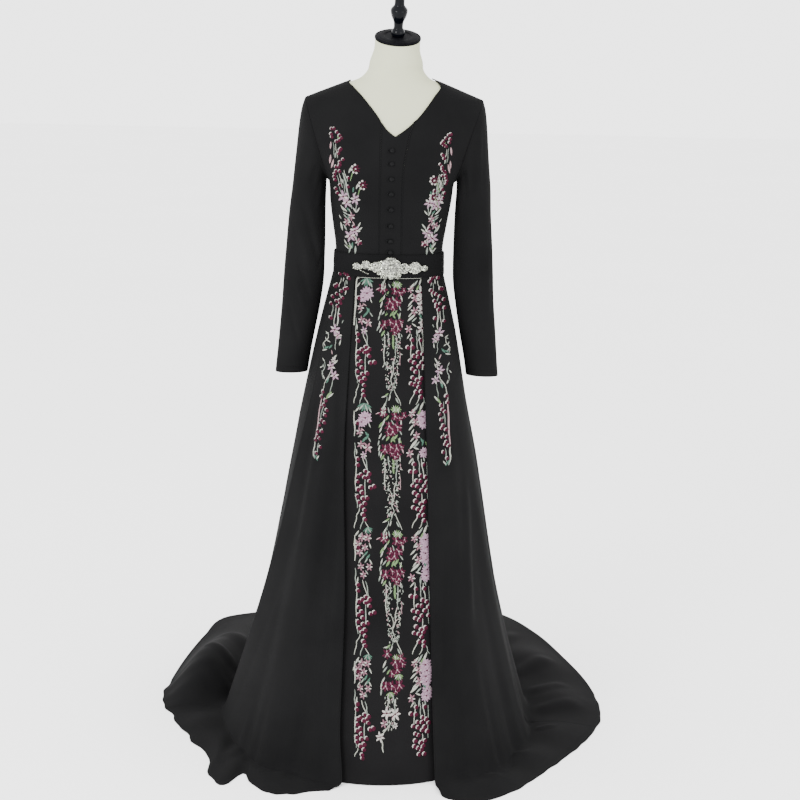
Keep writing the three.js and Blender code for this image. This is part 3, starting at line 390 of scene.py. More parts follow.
def torso_normal(turn, z):
    return normal_of(torso, turn, z, 0.01, 0.5)


def turn_of_reach(reach, z, back):
    share = np.clip(np.abs(reach) / half_width(z, back), 0, 1)
    turn = np.arcsin(share ** (ROUND / 2)) * np.sign(reach)
    return np.where(back, np.where(turn < 0, -1, 1) * math.pi - turn, turn)


def turn_of_arm(z, back):
    share = np.clip(arm_depth(z) / depth_at(z, back), 0, 1)
    turn = np.arccos(share ** (ROUND / 2))
    return np.where(back, math.pi - turn, turn)


# Overskirt and inner panel skins
def flare_at(step):
    dip = FLARE * np.sin(math.pi * np.clip(step, 0, 1) ** 1.5)
    return step - dip + HIP_SWELL * np.sin(math.pi * 2 * step)


def ring_point(ring, turn):
    x = ring["half"] * signed_power(np.sin(turn), 2 / ring["round"])
    depth = np.where(np.cos(turn) < 0, ring["back"], ring["front"])
    y = -depth * signed_power(np.cos(turn), 2 / ring["round"])
    return np.stack([SKIRT_LEAN + x, y], -1)


def fold_reach(turn, step):
    """How far the hanging folds push the skirt out, the sharp left side fold included."""
    degrees = np.degrees(turn)
    reach = np.zeros(degrees.shape)
    for fold in FOLDS:
        away = np.abs(degrees - fold.turn)
        away = np.where(away > 180, 360 - away, away)
        grown = np.clip((step - fold.start) / (1 - fold.start), 0, 1) ** 0.8
        bell = np.cos(np.minimum(away / fold.spread, 1) * QUARTER) ** 2
        reach = reach + fold.reach * bell * grown
    away = np.abs(degrees - read(SIDE_SEAM, "step", step, "left"))
    grown = smooth((step - 0.12) / 0.4)
    fade = 1 - smooth((step - 0.9) / 0.6)
    ridge = (1 - np.minimum(away / SIDE_FOLD_SPREAD, 1)) ** 1.3
    return reach + SIDE_FOLD_REACH * ridge * grown * fade


def rest_on_floor(height, bend):
    eased = (height + bend) ** 2 / (4 * bend)
    return np.where(height >= bend, height, np.where(height <= -bend, 0, eased))


def hem_ripple(degrees):
    """Small uneven waves of the hem where it lies on the floor, larger on the left."""
    side = smooth((np.abs(degrees) - 24) / 12) * smooth((116 - np.abs(degrees)) / 16)
    left = smooth((-degrees - 20) / 20)
    waves = np.sin(np.radians(degrees * 37)) + 0.7 * np.sin(np.radians(degrees * 61 + 40))
    return HEM_RIPPLE * side * mix(0.3, 1, left) * waves


def skirt(turn, step):
    """Middle of the overskirt cloth: step 0 at the waist, 1 at the floor line, 2 at the hem."""
    turn, step = np.broadcast_arrays(np.asarray(turn, float), np.asarray(step, float))
    degrees = np.degrees(turn)
    waist = ring_point(WAIST_RING, turn)
    foot = ring_point(FOOT_RING, turn)
    hem = np.stack([read(HEM, "turn", degrees, "x"), read(HEM, "turn", degrees, "y")], -1)
    hem = hem + unit(hem) * hem_ripple(degrees)[..., None]
    away = foot - waist
    run = np.linalg.norm(away, axis=-1)
    steep = SKIRT_TOP_Z / (run * (1 + math.pi * (FLARE * 1.5 + HIP_SWELL * 2)))
    bend = mix(BEND_FRONT, BEND_BACK, smooth((np.abs(degrees) - 90) / 70))
    drop = np.minimum(step, 1)
    on_floor = np.clip(step - 1, 0, 1)
    place = waist + away * flare_at(drop)[..., None]
    place = mix(place, hem, on_floor[..., None])
    place = place + unit(away) * (fold_reach(turn, drop) * (1 - on_floor))[..., None]
    reach = np.linalg.norm(foot - hem, axis=-1)
    fall = np.where(step <= 1, SKIRT_TOP_Z * (1 - step), -steep * reach * on_floor)
    hump = read(HEM, "turn", degrees, "hump") * np.sin(math.pi * on_floor) ** 1.5
    z = CLOTH_HALF + hump + rest_on_floor(fall, bend)
    return np.concatenate([place, z[..., None]], -1)


def skirt_normal(turn, step):
    normal = -normal_of(skirt, turn, np.clip(step, 0.002, 1.998), 0.004, 0.002)
    flat = skirt(turn, step)[..., 2:] < CLOTH_HALF + 0.02
    return np.where(flat, np.array([0.0, 0.0, 1.0]), normal)


def turn_across(x, step):
    """Turn of the overskirt where it passes a place across the gown."""
    low = np.full(np.broadcast(x, step).shape, -math.radians(80))
    return halve(low, -low, lambda turn: skirt(turn, step)[..., 0] < x)


def panel(across, step):
    across, step = np.broadcast_arrays(np.asarray(across, float), np.asarray(step, float))
    reach = mix(PANEL_TURN_TOP, PANEL_TURN_FOOT, np.maximum(flare_at(step), 0) ** 0.6)
    turn = np.radians(PANEL_SHIFT * step + across * reach)
    waist = ring_point(WAIST_RING, turn)
    away = ring_point(FOOT_RING, turn) - waist
    drop = np.maximum(step, 0) ** 0.7
    gap = mix(PANEL_GAP_TOP, PANEL_GAP_FOOT, drop) + PANEL_GAP_SIDES * drop * across**4
    place = waist + away * flare_at(step)[..., None] - unit(away) * gap[..., None]
    z = CLOTH_HALF + SEAM_GAP + SKIRT_TOP_Z * (1 - step)
    return np.concatenate([place, z[..., None]], -1)


def panel_normal(across, step):
    return -normal_of(panel, across, np.clip(step, 0.002, 0.998), 0.01, 0.002)


def panel_across(x, step):
    low = np.full(np.broadcast(x, step).shape, -1.0)
    return halve(low, -low, lambda across: panel(across, step)[..., 0] < x)


# Soft ridges, troughs and small unevenness, pushed along the skin's own direction
def crease_rise(points, rows, skin):
    rise = np.zeros(points.shape[:-1])
    share = np.linspace(0, 1, 13)
    for crease in rows:
        line = skin(mix(crease.a0, crease.a1, share), mix(crease.b0, crease.b1, share))
        low, high = line.min(0) - crease.spread, line.max(0) + crease.spread
        near = ((points > low) & (points < high)).all(-1)
        if not near.any():
            continue
        away = np.full(near.sum(), np.inf)
        along = np.zeros(near.sum())
        for i in range(len(line) - 1):
            start, edge = line[i], line[i + 1] - line[i]
            t = np.clip((points[near] - start) @ edge / (edge @ edge), 0, 1)
            gap = np.linalg.norm(points[near] - start - t[:, None] * edge, axis=-1)
            along = np.where(gap < away, (i + t) / (len(line) - 1), along)
            away = np.minimum(away, gap)
        bell = np.cos(np.minimum(away / crease.spread, 1) * QUARTER) ** 2
        rise[near] += crease.rise * bell * smooth(along / 0.3) * smooth((1 - along) / 0.3)
    return rise


def ripple(points, length, rise):
    x, y, z = np.moveaxis(points, -1, 0) / length
    first = np.sin(2.1 * x + 1.3 * y + 0.9 * z) * np.sin(1.1 * z - 1.7 * x + 0.6)
    second = np.sin(3.7 * y - 1.9 * z + 1.2) * np.sin(2.9 * x + 0.7 * z + 2.0)
    return rise * (first + 0.6 * second)


def in_degrees(skin):
    return lambda degrees, b: skin(np.radians(degrees), b)


def worn_skirt(turn, step):
    points, normals = skirt(turn, step), skirt_normal(turn, step)
    rise = crease_rise(points, SKIRT_CREASES, in_degrees(skirt))
    swell = smooth(points[..., 2] / 500) * smooth(step / 0.2)
    rise = (rise + ripple(points, 120, 1.1) * swell) * smooth(step / 0.06)
    moved = points + normals * rise[..., None]
    moved[..., 2] = np.maximum(moved[..., 2], CLOTH_HALF)
    return moved, normals


def worn_panel(across, step):
    points, normals = panel(across, step), panel_normal(across, step)
    rise = crease_rise(points, PANEL_CREASES, panel) + ripple(points, 110, 0.6)
    return points + normals * (rise * smooth(step / 0.1))[..., None], normals


def worn_torso(turn, z):
    points, normals = torso(turn, z), torso_normal(turn, z)
    rise = crease_rise(points, BODICE_CREASES, in_degrees(torso)) + ripple(points, 70, 0.25)
    fade = smooth((z - BELT_TOP_Z) / 20) * smooth((NECK_POINT_Z + 10 - z) / 40)
    return points + normals * (rise * fade)[..., None], normals


# Places on the outside of the gown by their distance across and height
def on_bodice(x, z):
    return worn_torso(turn_of_reach(x - lean(z), z, False), z)


def on_skirt(x, z):
    step = 1 - (z - CLOTH_HALF) / SKIRT_TOP_Z
    return worn_skirt(turn_across(x, step), step)


def on_panel(x, z):
    step = 1 - (z - CLOTH_HALF - SEAM_GAP) / SKIRT_TOP_Z
    return worn_panel(panel_across(x, step), step)


# Meshes
def add_mesh(name, vertices, faces, materials, face_materials=None, uv=None, sharp=35):
    mesh = bpy.data.meshes.new(name)
    mesh.from_pydata((vertices * METRE).tolist(), [], [list(face) for face in faces])
    for material in materials:
        mesh.materials.append(material)
    if face_materials is not None:
        mesh.polygons.foreach_set("material_index", np.asarray(face_materials, np.int32))
    if uv is not None:
        layer = mesh.uv_layers.new(name="thread")
        corner = np.empty(len(mesh.loops), np.int32)
        mesh.loops.foreach_get("vertex_index", corner)
        layer.data.foreach_set("uv", uv[corner].astype(np.float32).ravel())
    mesh.shade_smooth()
    if sharp:
        mesh.set_sharp_from_angle(angle=math.radians(sharp))
    piece = bpy.data.objects.new(name, mesh)
    bpy.context.scene.collection.objects.link(piece)
    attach(piece, "root")
    return piece


def stands_for(piece, node):
    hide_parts(node)


def facing_out(vertices, faces):
    """The same faces, turned so that the closed mesh faces outward."""
    volume = 0
    for corners in ((0, 1, 2), (0, 2, 3)):
        a, b, c = (vertices[faces[:, i]] for i in corners)
        volume += np.einsum("ij,ij->", a, np.cross(b, c))
    return faces[:, ::-1] if volume < 0 else faces


def quads(index):
    corners = (index[:-1, :-1], index[:-1, 1:], index[1:, 1:], index[1:, :-1])
    return np.stack(corners, -1).reshape(-1, 4)


def ring_index(rows, columns, closed=True):
    """Numbers of the points of a grid, the first column again at the end if it is closed."""
    index = np.arange(rows * columns).reshape(rows, columns)
    return np.concatenate([index, index[:, :1]], axis=1) if closed else index


def capped_faces(rows, columns):
    """Faces of a closed grid with a lid over its last ring."""
    index = ring_index(rows, columns)
    return [tuple(face) for face in quads(index)] + [tuple(index[-1, :-1])]


def shell(name, points, normals, material, closed=False, half=CLOTH_HALF):
    """Closed thin cloth on both sides of a grid of points, thinner at its sewn edges."""
    rows, columns = points.shape[:2]
    thick = np.full((rows, columns), half)
    thick[0] = thick[-1] = half * 0.45
    if not closed:
        thick[:, 0] = thick[:, -1] = half * 0.45
    outer = points + normals * thick[..., None]
    inner = points - normals * thick[..., None]
    vertices = np.concatenate([outer.reshape(-1, 3), inner.reshape(-1, 3)])
    index, layer = ring_index(rows, columns, closed), rows * columns
    faces = [quads(index), quads(index)[:, ::-1] + layer]
    borders = [index[0], index[-1][::-1]]
    if not closed:
        borders += [index[::-1, 0], index[:, -1]]
    for border in borders:
        rim = np.stack([border[1:], border[:-1], border[:-1] + layer, border[1:] + layer], -1)
        faces.append(rim)
    faces = facing_out(vertices, np.concatenate(faces))
    return add_mesh(name, vertices, faces, [material], sharp=50)


def lofted(name, rings, material, sharp=35):
    """Closed body through rings of points, with a flat fan over each end."""
    count, sides = rings.shape[:2]
    vertices = np.concatenate([rings.reshape(-1, 3), rings[:1].mean(1), rings[-1:].mean(1)])
    index = ring_index(count, sides)
    first, last = count * sides, count * sides + 1
    body = quads(index)
    faces = [tuple(face) for face in body]
    faces += [(index[0, i + 1], index[0, i], first) for i in range(sides)]
    faces += [(index[-1, i], index[-1, i + 1], last) for i in range(sides)]
    if (facing_out(vertices, body) != body).any():
        faces = [face[::-1] for face in faces]
    return add_mesh(name, vertices, faces, [material], sharp=sharp)


def turned_rings(rise, radius, sides):
    angle = circle(sides)
    x, y = radius[:, None] * np.cos(angle), radius[:, None] * np.sin(angle)
    return np.stack([x, y, np.broadcast_to(rise[:, None], x.shape)], -1)


# Materials
def new_material(name, roughness, **sockets):
    material = bpy.data.materials.new(name)
    material.use_nodes = True
    shader = material.node_tree.nodes["Principled BSDF"]
    shader.inputs["Roughness"].default_value = roughness
    for socket, value in sockets.items():
        shader.inputs[socket.replace("_", " ")].default_value = value
    return material, shader


def add_node(material, kind, **inputs):
    node = material.node_tree.nodes.new(kind)
    for name, value in inputs.items():
        node.inputs[name].default_value = value
    return node


def join(material, source, target):
    material.node_tree.links.new(source, target)


def place_of(material, kind="Object", scale=(1, 1, 1)):
    where = add_node(material, "ShaderNodeTexCoord")
    stretch = add_node(material, "ShaderNodeMapping", Scale=scale)
    join(material, where.outputs[kind], stretch.inputs["Vector"])
    return stretch.outputs["Vector"]


def noise(material, place, scale, detail=3):
    node = add_node(material, "ShaderNodeTexNoise", Scale=scale, Detail=detail)
    join(material, place, node.inputs["Vector"])
    return node.outputs["Fac"]


def bands(material, place, scale, direction, distortion=0.0):
    node = add_node(material, "ShaderNodeTexWave", Scale=scale, Distortion=distortion)
    node.bands_direction = direction
    join(material, place, node.inputs["Vector"])
    return node.outputs["Fac"]


def blend_colours(material, shader, factor, dark, light, low=0.3, high=0.7):
    ramp = add_node(material, "ShaderNodeValToRGB")
    for element, position, colour in zip(ramp.color_ramp.elements, (low, high), (dark, light)):
        element.position = position
        element.color = (*colour, 1)
    join(material, factor, ramp.inputs["Fac"])
    join(material, ramp.outputs["Color"], shader.inputs["Base Color"])


def bump(material, shader, heights):
    """Heights is a list of (height output, strength, distance in metres), coarse to fine."""
    before = None
    for height, strength, distance in heights:
        node = add_node(material, "ShaderNodeBump", Strength=strength, Distance=distance)
        join(material, height, node.inputs["Height"])
        if before:
            join(material, before, node.inputs["Normal"])
        before = node.outputs["Normal"]
    join(material, before, shader.inputs["Normal"])


def vary_roughness(material, shader, factor, low, high):
    spread = add_node(material, "ShaderNodeMapRange")
    spread.inputs["To Min"].default_value = low
    spread.inputs["To Max"].default_value = high
    join(material, factor, spread.inputs["Value"])
    join(material, spread.outputs["Result"], shader.inputs["Roughness"])


def crepe(name, dark, light, sheen):
    """Matt crepe: a pebbly twisted weave and a soft cloudiness in its black."""
    material, shader = new_material(
        name, 0.9, Specular_IOR_Level=0.03, Sheen_Weight=sheen, Sheen_Roughness=0.6
    )
    place = place_of(material)
    cloud = noise(material, place, 7, 4)
    blend_colours(material, shader, cloud, dark, light)
    vary_roughness(material, shader, cloud, 0.84, 0.96)
    pebble = noise(material, place, 1300, 2)
    twill = bands(material, place, 190, "DIAGONAL", 2.5)
    bump(material, shader, [(twill, 0.12, 0.0004), (pebble, 0.3, 0.0004)])
    return material


def thread(name, dark, light, roughness=0.5, specular=0.07):
    """Satin embroidery thread: fine parallel strands across each stitch block."""
    material, shader = new_material(name, roughness, Specular_IOR_Level=specular)
    fibres = bands(material, place_of(material, "UV"), 0.42, "X", 0.6)
    shade = noise(material, place_of(material), 420, 2)
    blend_colours(material, shader, shade, dark, light)
    bump(material, shader, [(fibres, 0.55, 0.0004)])
    return material


def jersey(name, dark, light):
    material, shader = new_material(
        name, 0.8, Specular_IOR_Level=0.1, Sheen_Weight=0.03, Sheen_Roughness=0.4
    )
    place = place_of(material)
    blend_colours(material, shader, noise(material, place, 5, 3), dark, light)
    rib = bands(material, place, 330, "X", 0.3)
    row = bands(material, place, 300, "Z", 0.3)
    bump(material, shader, [(rib, 0.1, 0.0003), (row, 0.1, 0.0003)])
    return material


def wood(name, dark, light, roughness):
    material, shader = new_material(name, roughness, Specular_IOR_Level=0.02)
    grain = noise(material, place_of(material, scale=(1, 1, 0.25)), 160, 5)
    blend_colours(material, shader, grain, dark, light)
    bump(material, shader, [(grain, 0.12, 0.0003)])
    return material


def lacquer(name, dark, light):
    material, shader = new_material(name, 0.1, Specular_IOR_Level=0.06, Coat_Weight=0.05)
    blend_colours(material, shader, noise(material, place_of(material), 40, 3), dark, light)
    vary_roughness(material, shader, noise(material, place_of(material), 90, 4), 0.08, 0.2)
    return material


def painted_steel(name, dark, light):
    material, shader = new_material(name, 0.4, Specular_IOR_Level=0.15)
    place = place_of(material)
    blend_colours(material, shader, noise(material, place, 30, 3), dark, light)
    bump(material, shader, [(noise(material, place, 900, 2), 0.15, 0.0002)])
    return material


def silver(name, dark, light):
    material, shader = new_material(name, 0.22, Metallic=1.0)
    place = place_of(material)
    cloud = noise(material, place, 260, 3)
    blend_colours(material, shader, cloud, dark, light)
    vary_roughness(material, shader, cloud, 0.16, 0.36)
    bump(material, shader, [(noise(material, place, 1500, 2), 0.2, 0.0002)])
    return material


def crystal(name, dark, light):
    """Cut stones with a foiled back: bright, darker and lighter facets painted as glints and
    reflections.
    """
    material, shader = new_material(name, 0.08, Metallic=0.6, Coat_Weight=0.3, Coat_Roughness=0.03)
    painted_glints = noise(material, place_of(material), 300, 2)
    blend_colours(material, shader, painted_glints, dark, light, 0.43, 0.56)
    return material


GOWN = crepe("gown_crepe", (0.0034, 0.0034, 0.0036), (0.0052, 0.0052, 0.0054), 0.004)
INNER = crepe("inner_crepe", (0.0036, 0.0035, 0.0037), (0.0056, 0.0054, 0.0057), 0.004)
BELT = crepe("belt_crepe", (0.0028, 0.0028, 0.003), (0.0045, 0.0045, 0.0047), 0.003)
SEWING = thread("sewing_thread", (0.0026, 0.0026, 0.0028), (0.0048, 0.0048, 0.005), 0.7, 0.02)
CORD = thread("button_cord", (0.001, 0.001, 0.0012), (0.0035, 0.0035, 0.0038), 0.55, 0.06)
SILVER = silver("brooch_silver", (0.06, 0.06, 0.055), (0.26, 0.26, 0.24))
STONE = crystal("brooch_stone", (0.006, 0.007, 0.006), (0.47, 0.49, 0.4))
COVER = jersey("form_jersey", (0.375, 0.385, 0.27), (0.425, 0.437, 0.315))
CAP = wood("cap_wood", (0.001, 0.001, 0.0014), (0.0036, 0.0036, 0.0048), 0.6)
KNOB = lacquer("knob_lacquer", (0.0006, 0.0008, 0.0014), (0.0015, 0.0018, 0.003))
STEEL = painted_steel("stand_paint", (0.01, 0.01, 0.011), (0.018, 0.018, 0.02))
THREAD_COLOURS = {
    "berry": ((0.013, 0.0006, 0.0042), (0.044, 0.002, 0.013)),
    "wine": ((0.014, 0.0006, 0.0048), (0.05, 0.0026, 0.0155)),
    "mauve": ((0.13, 0.078, 0.112), (0.25, 0.17, 0.215)),
    "blush": ((0.15, 0.09, 0.1), (0.27, 0.18, 0.19)),
    "rose": ((0.1, 0.045, 0.06), (0.18, 0.1, 0.12)),
    "cream": ((0.18, 0.165, 0.155), (0.32, 0.3, 0.285)),
    "pale": ((0.15, 0.155, 0.132), (0.27, 0.28, 0.245)),
    "mist": ((0.09, 0.105, 0.09), (0.18, 0.2, 0.175)),
    "green": ((0.045, 0.085, 0.03), (0.11, 0.165, 0.08)),
    "teal": ((0.014, 0.045, 0.03), (0.05, 0.1, 0.075)),
}
THREADS = {name: thread("thread_" + name, *pair) for name, pair in THREAD_COLOURS.items()}
THREAD_NAMES = list(THREADS)


# Bodice
def outer_edge(row, back):
    """Turn and height of a bodice panel's side seam and armhole at each row."""
    side_z = mix(BODICE_BOTTOM_Z, UNDERARM_Z, row / SIDE_ROWS)
    angle = np.radians(np.interp(row - SIDE_ROWS, range(len(ARM_ANGLES)), ARM_ANGLES))
    arm_z = ARM_MID_Z - ARM_HALF * np.cos(angle)
    z = np.where(row <= SIDE_ROWS, side_z, arm_z)
    in_arm = (row > SIDE_ROWS) & (row < BODICE_ROWS)
    return np.where(in_arm, turn_of_arm(z, back), QUARTER), z


def placket_edge(side, z):
    return np.full(np.shape(z), PLACKET_LEFT) if side < 0 else read(PLACKET_RIGHT, "z", z, "x")


def front_inner_edge(row, side):
    """Placket seam first, then the neck edge."""
    top = PLACKET_LEFT_TOP_Z if side < 0 else PLACKET_RIGHT_TOP_Z
    seam_z = mix(BODICE_BOTTOM_Z, top, row / FRONT_SEAM_ROWS)
    seam_reach = (placket_edge(side, seam_z) - lean(seam_z)) * side
    share = np.clip((row - FRONT_SEAM_ROWS) / (BODICE_ROWS - FRONT_SEAM_ROWS), 0, 1)
    neck_z = mix(top, NECK_POINT[side], 1 - (1 - share) ** 2.2)
    neck_reach = read(NECK_EDGE, "z", neck_z, "left" if side < 0 else "right")
    on_seam = row <= FRONT_SEAM_ROWS
    z = np.where(on_seam, seam_z, neck_z)
    turn = turn_of_reach(np.where(on_seam, seam_reach, neck_reach), z, False)
    return np.where(row == BODICE_ROWS, QUARTER, turn), z


def back_inner_edge(row, side):
    """Centre seam first, then the shallow back neck."""
    seam_z = mix(BODICE_BOTTOM_Z, BACK_NECK_Z, row / BACK_SEAM_ROWS)
    left = 1 - np.clip((row - BACK_SEAM_ROWS) / (BODICE_ROWS - BACK_SEAM_ROWS), 0, 1)
    share = 1 - left**2
    neck_z = mix(BACK_NECK_Z, NECK_POINT[side], share**3)
    reach = share * mix(NECK_HALF, half_width(neck_z, True), share**6)
    on_seam = row <= BACK_SEAM_ROWS
    z = np.where(on_seam, seam_z, neck_z)
    turn = np.where(on_seam, math.pi, turn_of_reach(reach, neck_z, True))
    return np.where(row == BODICE_ROWS, QUARTER, turn), z


def edge_shares(count, edge=0.012):
    """Even steps from 0 to 1 with one narrow step along each end for the seam."""
    return np.concatenate([[0, edge], np.linspace(0, 1, count + 1)[1:-1], [1 - edge, 1]])


def bodice_grid(side, back):
    row = np.linspace(0, BODICE_ROWS, BODICE_ROWS * 7 + 1)
    inner_turn, inner_z = back_inner_edge(row, side) if back else front_inner_edge(row, side)
    outer_turn, outer_z = outer_edge(row, back)
    share = edge_shares(46)
    turn = side * mix(inner_turn[:, None], outer_turn[:, None], share)
    z = mix(inner_z[:, None], outer_z[:, None], share)
    points, normals = worn_torso(turn, z)
    seam_rows = BACK_SEAM_ROWS if back else FRONT_SEAM_ROWS
    points[row <= seam_rows, 0, 0] += side * HALF_SEAM
    points[row <= SIDE_ROWS, -1, 1] += HALF_SEAM if back else -HALF_SEAM
    points[-1, :, 1] += HALF_SEAM if back else -HALF_SEAM
    return points, normals


def neck_edge_z(x):
    def under_neck(z):
        offset = x - lean(z)
        right_of_left = offset > -read(NECK_EDGE, "z", z, "left")
        return ~(right_of_left & (offset < read(NECK_EDGE, "z", z, "right")))

    low = np.full(np.shape(x), float(V_POINT_Z))
    return halve(low, np.full(np.shape(x), float(NECK_POINT_Z)), under_neck)


def placket_grid():
    share = edge_shares(18, 0.03)
    top_z = neck_edge_z(mix(PLACKET_LEFT, placket_edge(1, PLACKET_RIGHT_TOP_Z), share))
    top_z[0] = PLACKET_LEFT_TOP_Z
    top_z[-1] = PLACKET_RIGHT_TOP_Z
    z = mix(BODICE_BOTTOM_Z, top_z, np.linspace(0, 1, 90)[:, None])
    x = mix(placket_edge(-1, z), placket_edge(1, z), share)
    points, normals = on_bodice(x, z)
    points[:, 0, 0] += HALF_SEAM
    points[:, -1, 0] -= HALF_SEAM
    return points, normals


# Sleeves
def sleeve(side, around, station):
    inner_x, inner_z, outer_x, outer_z, deep = (
        read(SLEEVE, "station", station, column) for column in "inX inZ outX outZ deep".split()
    )
    share = (1 - np.cos(around)) / 2
    x, z = mix(inner_x, outer_x, share), mix(inner_z, outer_z, share)
    y = -deep * np.sin(around)
    push = ARMHOLE_PUSH * np.clip(1 - station, 0, 1)
    slope = np.array([SHOULDER_TIP_Z - UNDERARM_Z, UNDERARM_REACH - SHOULDER_REACH])
    slope = slope / np.linalg.norm(slope)
    x, z = x + push * slope[0], z + push * slope[1]
    return np.stack([x * side + lean(z), y, z], -1)


def sleeve_grid(side, rows):
    station = np.concatenate([np.linspace(0, CUFF, 110)[:-1], [CUFF - 0.03, CUFF]])[:, None]
    points = sleeve(side, circle(72), station)
    round_way = np.roll(points, -1, 1) - np.roll(points, 1, 1)
    normals = unit(np.cross(round_way, np.gradient(points, axis=0)))
    if ((points - points.mean(1, keepdims=True)) * normals).sum() < 0:
        normals = -normals
    rise = crease_rise(points, rows, lambda a, b: sleeve(side, np.radians(a), b))
    rise = (rise + ripple(points, 55, 0.35)) * smooth(station / 0.8) * smooth((CUFF - station) / 0.8)
    return points + normals * rise[..., None], normals


# Overskirt panels
SKIRT_STEPS = np.concatenate(
    [[0, 0.002], np.linspace(0, 1, 100)[1:-1], np.linspace(1, 2, 56)[:-1], [1.99, 2]]
)


def opening_turn(column):
    return turn_across(read(OPENING, "step", SKIRT_STEPS, column), SKIRT_STEPS)


def side_turn(column):
    return np.radians(read(SIDE_SEAM, "step", SKIRT_STEPS, column))


def skirt_grid(first, last, columns):
    turn = mix(first[:, None], last[:, None], edge_shares(columns, 0.006))
    points, normals = worn_skirt(turn, SKIRT_STEPS[:, None])
    points[:, 0] += unit(points[:, 1] - points[:, 0]) * HALF_SEAM
    points[:, -1] += unit(points[:, -2] - points[:, -1]) * HALF_SEAM
    return points, normals


def panel_grid():
    across = mix(-1, 1, edge_shares(64, 0.006))
    step = np.concatenate([[0, 0.002], np.linspace(0, 1, 110)[1:-1], [0.998, 1]])[:, None]
    return worn_panel(across, step)


# Belt: a folded band with soft round edges
def belt_grid():
    turn = circle(220)
    height = edge_shares(18, 0.02)[:, None]
    z = mix(BELT_BOTTOM_Z, BELT_TOP_Z, height)
    points, normals = torso(turn, z), torso_normal(turn, z)
    normals[..., 2] = 0
    normals = unit(normals)
    fold = 0.35 * np.sin(height * 3 * math.pi) ** 2
    return points + normals * ((BELT_INSIDE + BELT_OUTSIDE) / 2 + fold)[..., None], normals


# Rows of machine stitches: distance from stitch to stitch and size of one
PITCH = 3.4
STITCH = {"long": 2.4, "wide": 0.7, "high": 0.4, "sink": 0.05}
STITCH_CORNERS = [(-1, -1, 0), (1, -1, 0), (1, 1, 0), (-1, 1, 0), (-0.6, 0, 1), (0.6, 0, 1)]
STITCH_FACES = [(0, 1, 5, 4), (2, 3, 4, 5), (1, 2, 5), (3, 0, 4), (3, 2, 1, 0)]


def stitch_rows(name, lines):
    """Small stitches along each line of (points, normals), all in one piece."""
    corners = np.array(STITCH_CORNERS) * (STITCH["long"] / 2, STITCH["wide"] / 2, STITCH["high"])
    ahead, aside, above = corners.T[:, None, :, None]
    vertices, faces = [], []
    for points, normals in lines:
        gone = np.concatenate([[0], np.cumsum(np.linalg.norm(np.diff(points, axis=0), axis=1))])
        spots = np.arange(PITCH, gone[-1] - PITCH / 2, PITCH)
        at = np.stack([np.interp(spots, gone, points[:, k]) for k in range(3)], -1)
        up = unit(np.stack([np.interp(spots, gone, normals[:, k]) for k in range(3)], -1))
        along = unit(np.gradient(at, axis=0))
        side = unit(np.cross(up, along))
        block = at[:, None] + ahead * along[:, None] + aside * side[:, None]
        for corner in block + (above - STITCH["sink"]) * up[:, None]:
            base = len(vertices) * len(corners)
            vertices.append(corner)
            faces += [tuple(base + i for i in face) for face in STITCH_FACES]
    return add_mesh(name, np.concatenate(vertices), faces, [SEWING], sharp=0)


def grid_line(grid, column=None, row=None, lift=CLOTH_HALF):
    points, normals = grid
    pick = (slice(None), column) if row is None else (row, slice(None))
    return points[pick] + normals[pick] * lift, normals[pick]


# Embroidery: flat patches drawn in millimetres and laid on the cloth
Patch = namedtuple("Patch", "x z high faces colour uv")
THREAD_SINK = 0.1
LEAF_HIGH = 0.9
THREAD_LAYERS = 0.35


def leaf_patch(x, z, turn, long, wide, colour):
    """Satin stitched leaf or petal growing from a point. Turn 0 points down, + to the right."""
    steps = 6
    along = np.linspace(0, 1, steps + 1)
    half = wide / 2 * np.sin(math.pi * np.clip(along, 0.03, 0.985)) ** 0.75
    none = np.zeros(steps + 1)
    across = np.stack([-half, none, half], -1)
    down = np.broadcast_to((along * long)[:, None], across.shape)
    rise = np.stack([none, np.sin(math.pi * along) ** 0.5, none], -1)
    angle = math.radians(turn)
    px = x + across * math.cos(angle) + down * math.sin(angle)
    pz = z + across * math.sin(angle) - down * math.cos(angle)
    uv = np.stack([down.ravel(), across.ravel()], -1)
    faces = quads(ring_index(steps + 1, 3, closed=False))
    return Patch(px.ravel(), pz.ravel(), rise.ravel() * LEAF_HIGH, faces, colour, uv)


def dot_patch(x, z, radius, colour, high=1.3, sides=10):
    """Padded satin dot, such as a berry or the eye of a flower."""
    angle = circle(sides)
    rings = [(1.0, 0.0), (0.72, 0.75), (0.3, 1.0)]
    px = np.concatenate([x + radius * share * np.cos(angle) for share, _ in rings])
    pz = np.concatenate([z + radius * share * np.sin(angle) for share, _ in rings])
    rise = np.concatenate([np.full(sides, high * height) for _, height in rings])
    uv = np.stack([px - x, pz - z], -1)
    return Patch(px, pz, rise, capped_faces(len(rings), sides), colour, uv)


def stem_patch(line, wide, colour, high=0.7, taper=True):
    """Rope stitch along a smooth line of points."""
    line = np.array(line, float)
    count = max(6, int(np.linalg.norm(np.diff(line, axis=0), axis=1).sum() / 5))
    share = np.linspace(0, 1, count)
    curve = through(line, share)
    along = unit(np.gradient(curve, axis=0))
    side = np.stack([-along[:, 1], along[:, 0]], -1)
    half = np.full(count, wide / 2)
    if taper:
        half = half * (0.35 + 0.65 * np.sin(math.pi * np.clip(share, 0.04, 0.96)) ** 0.5)
    px, pz = (curve[:, k, None] + side[:, k, None] * half[:, None] * [-1, 0, 1] for k in (0, 1))
    rise = np.tile([0, high, 0], count)
    run = np.cumsum(np.linalg.norm(np.gradient(curve, axis=0), axis=1))
    uv = np.stack([np.repeat(run, 3), np.tile([0, 1, 2], count)], -1)
    faces = quads(ring_index(count, 3, closed=False))
    return Patch(px.ravel(), pz.ravel(), rise, faces, colour, uv)


def petals(x, z, turns, long, wide, colour):
    return [leaf_patch(x, z, turn, long, wide, colour) for turn in turns]


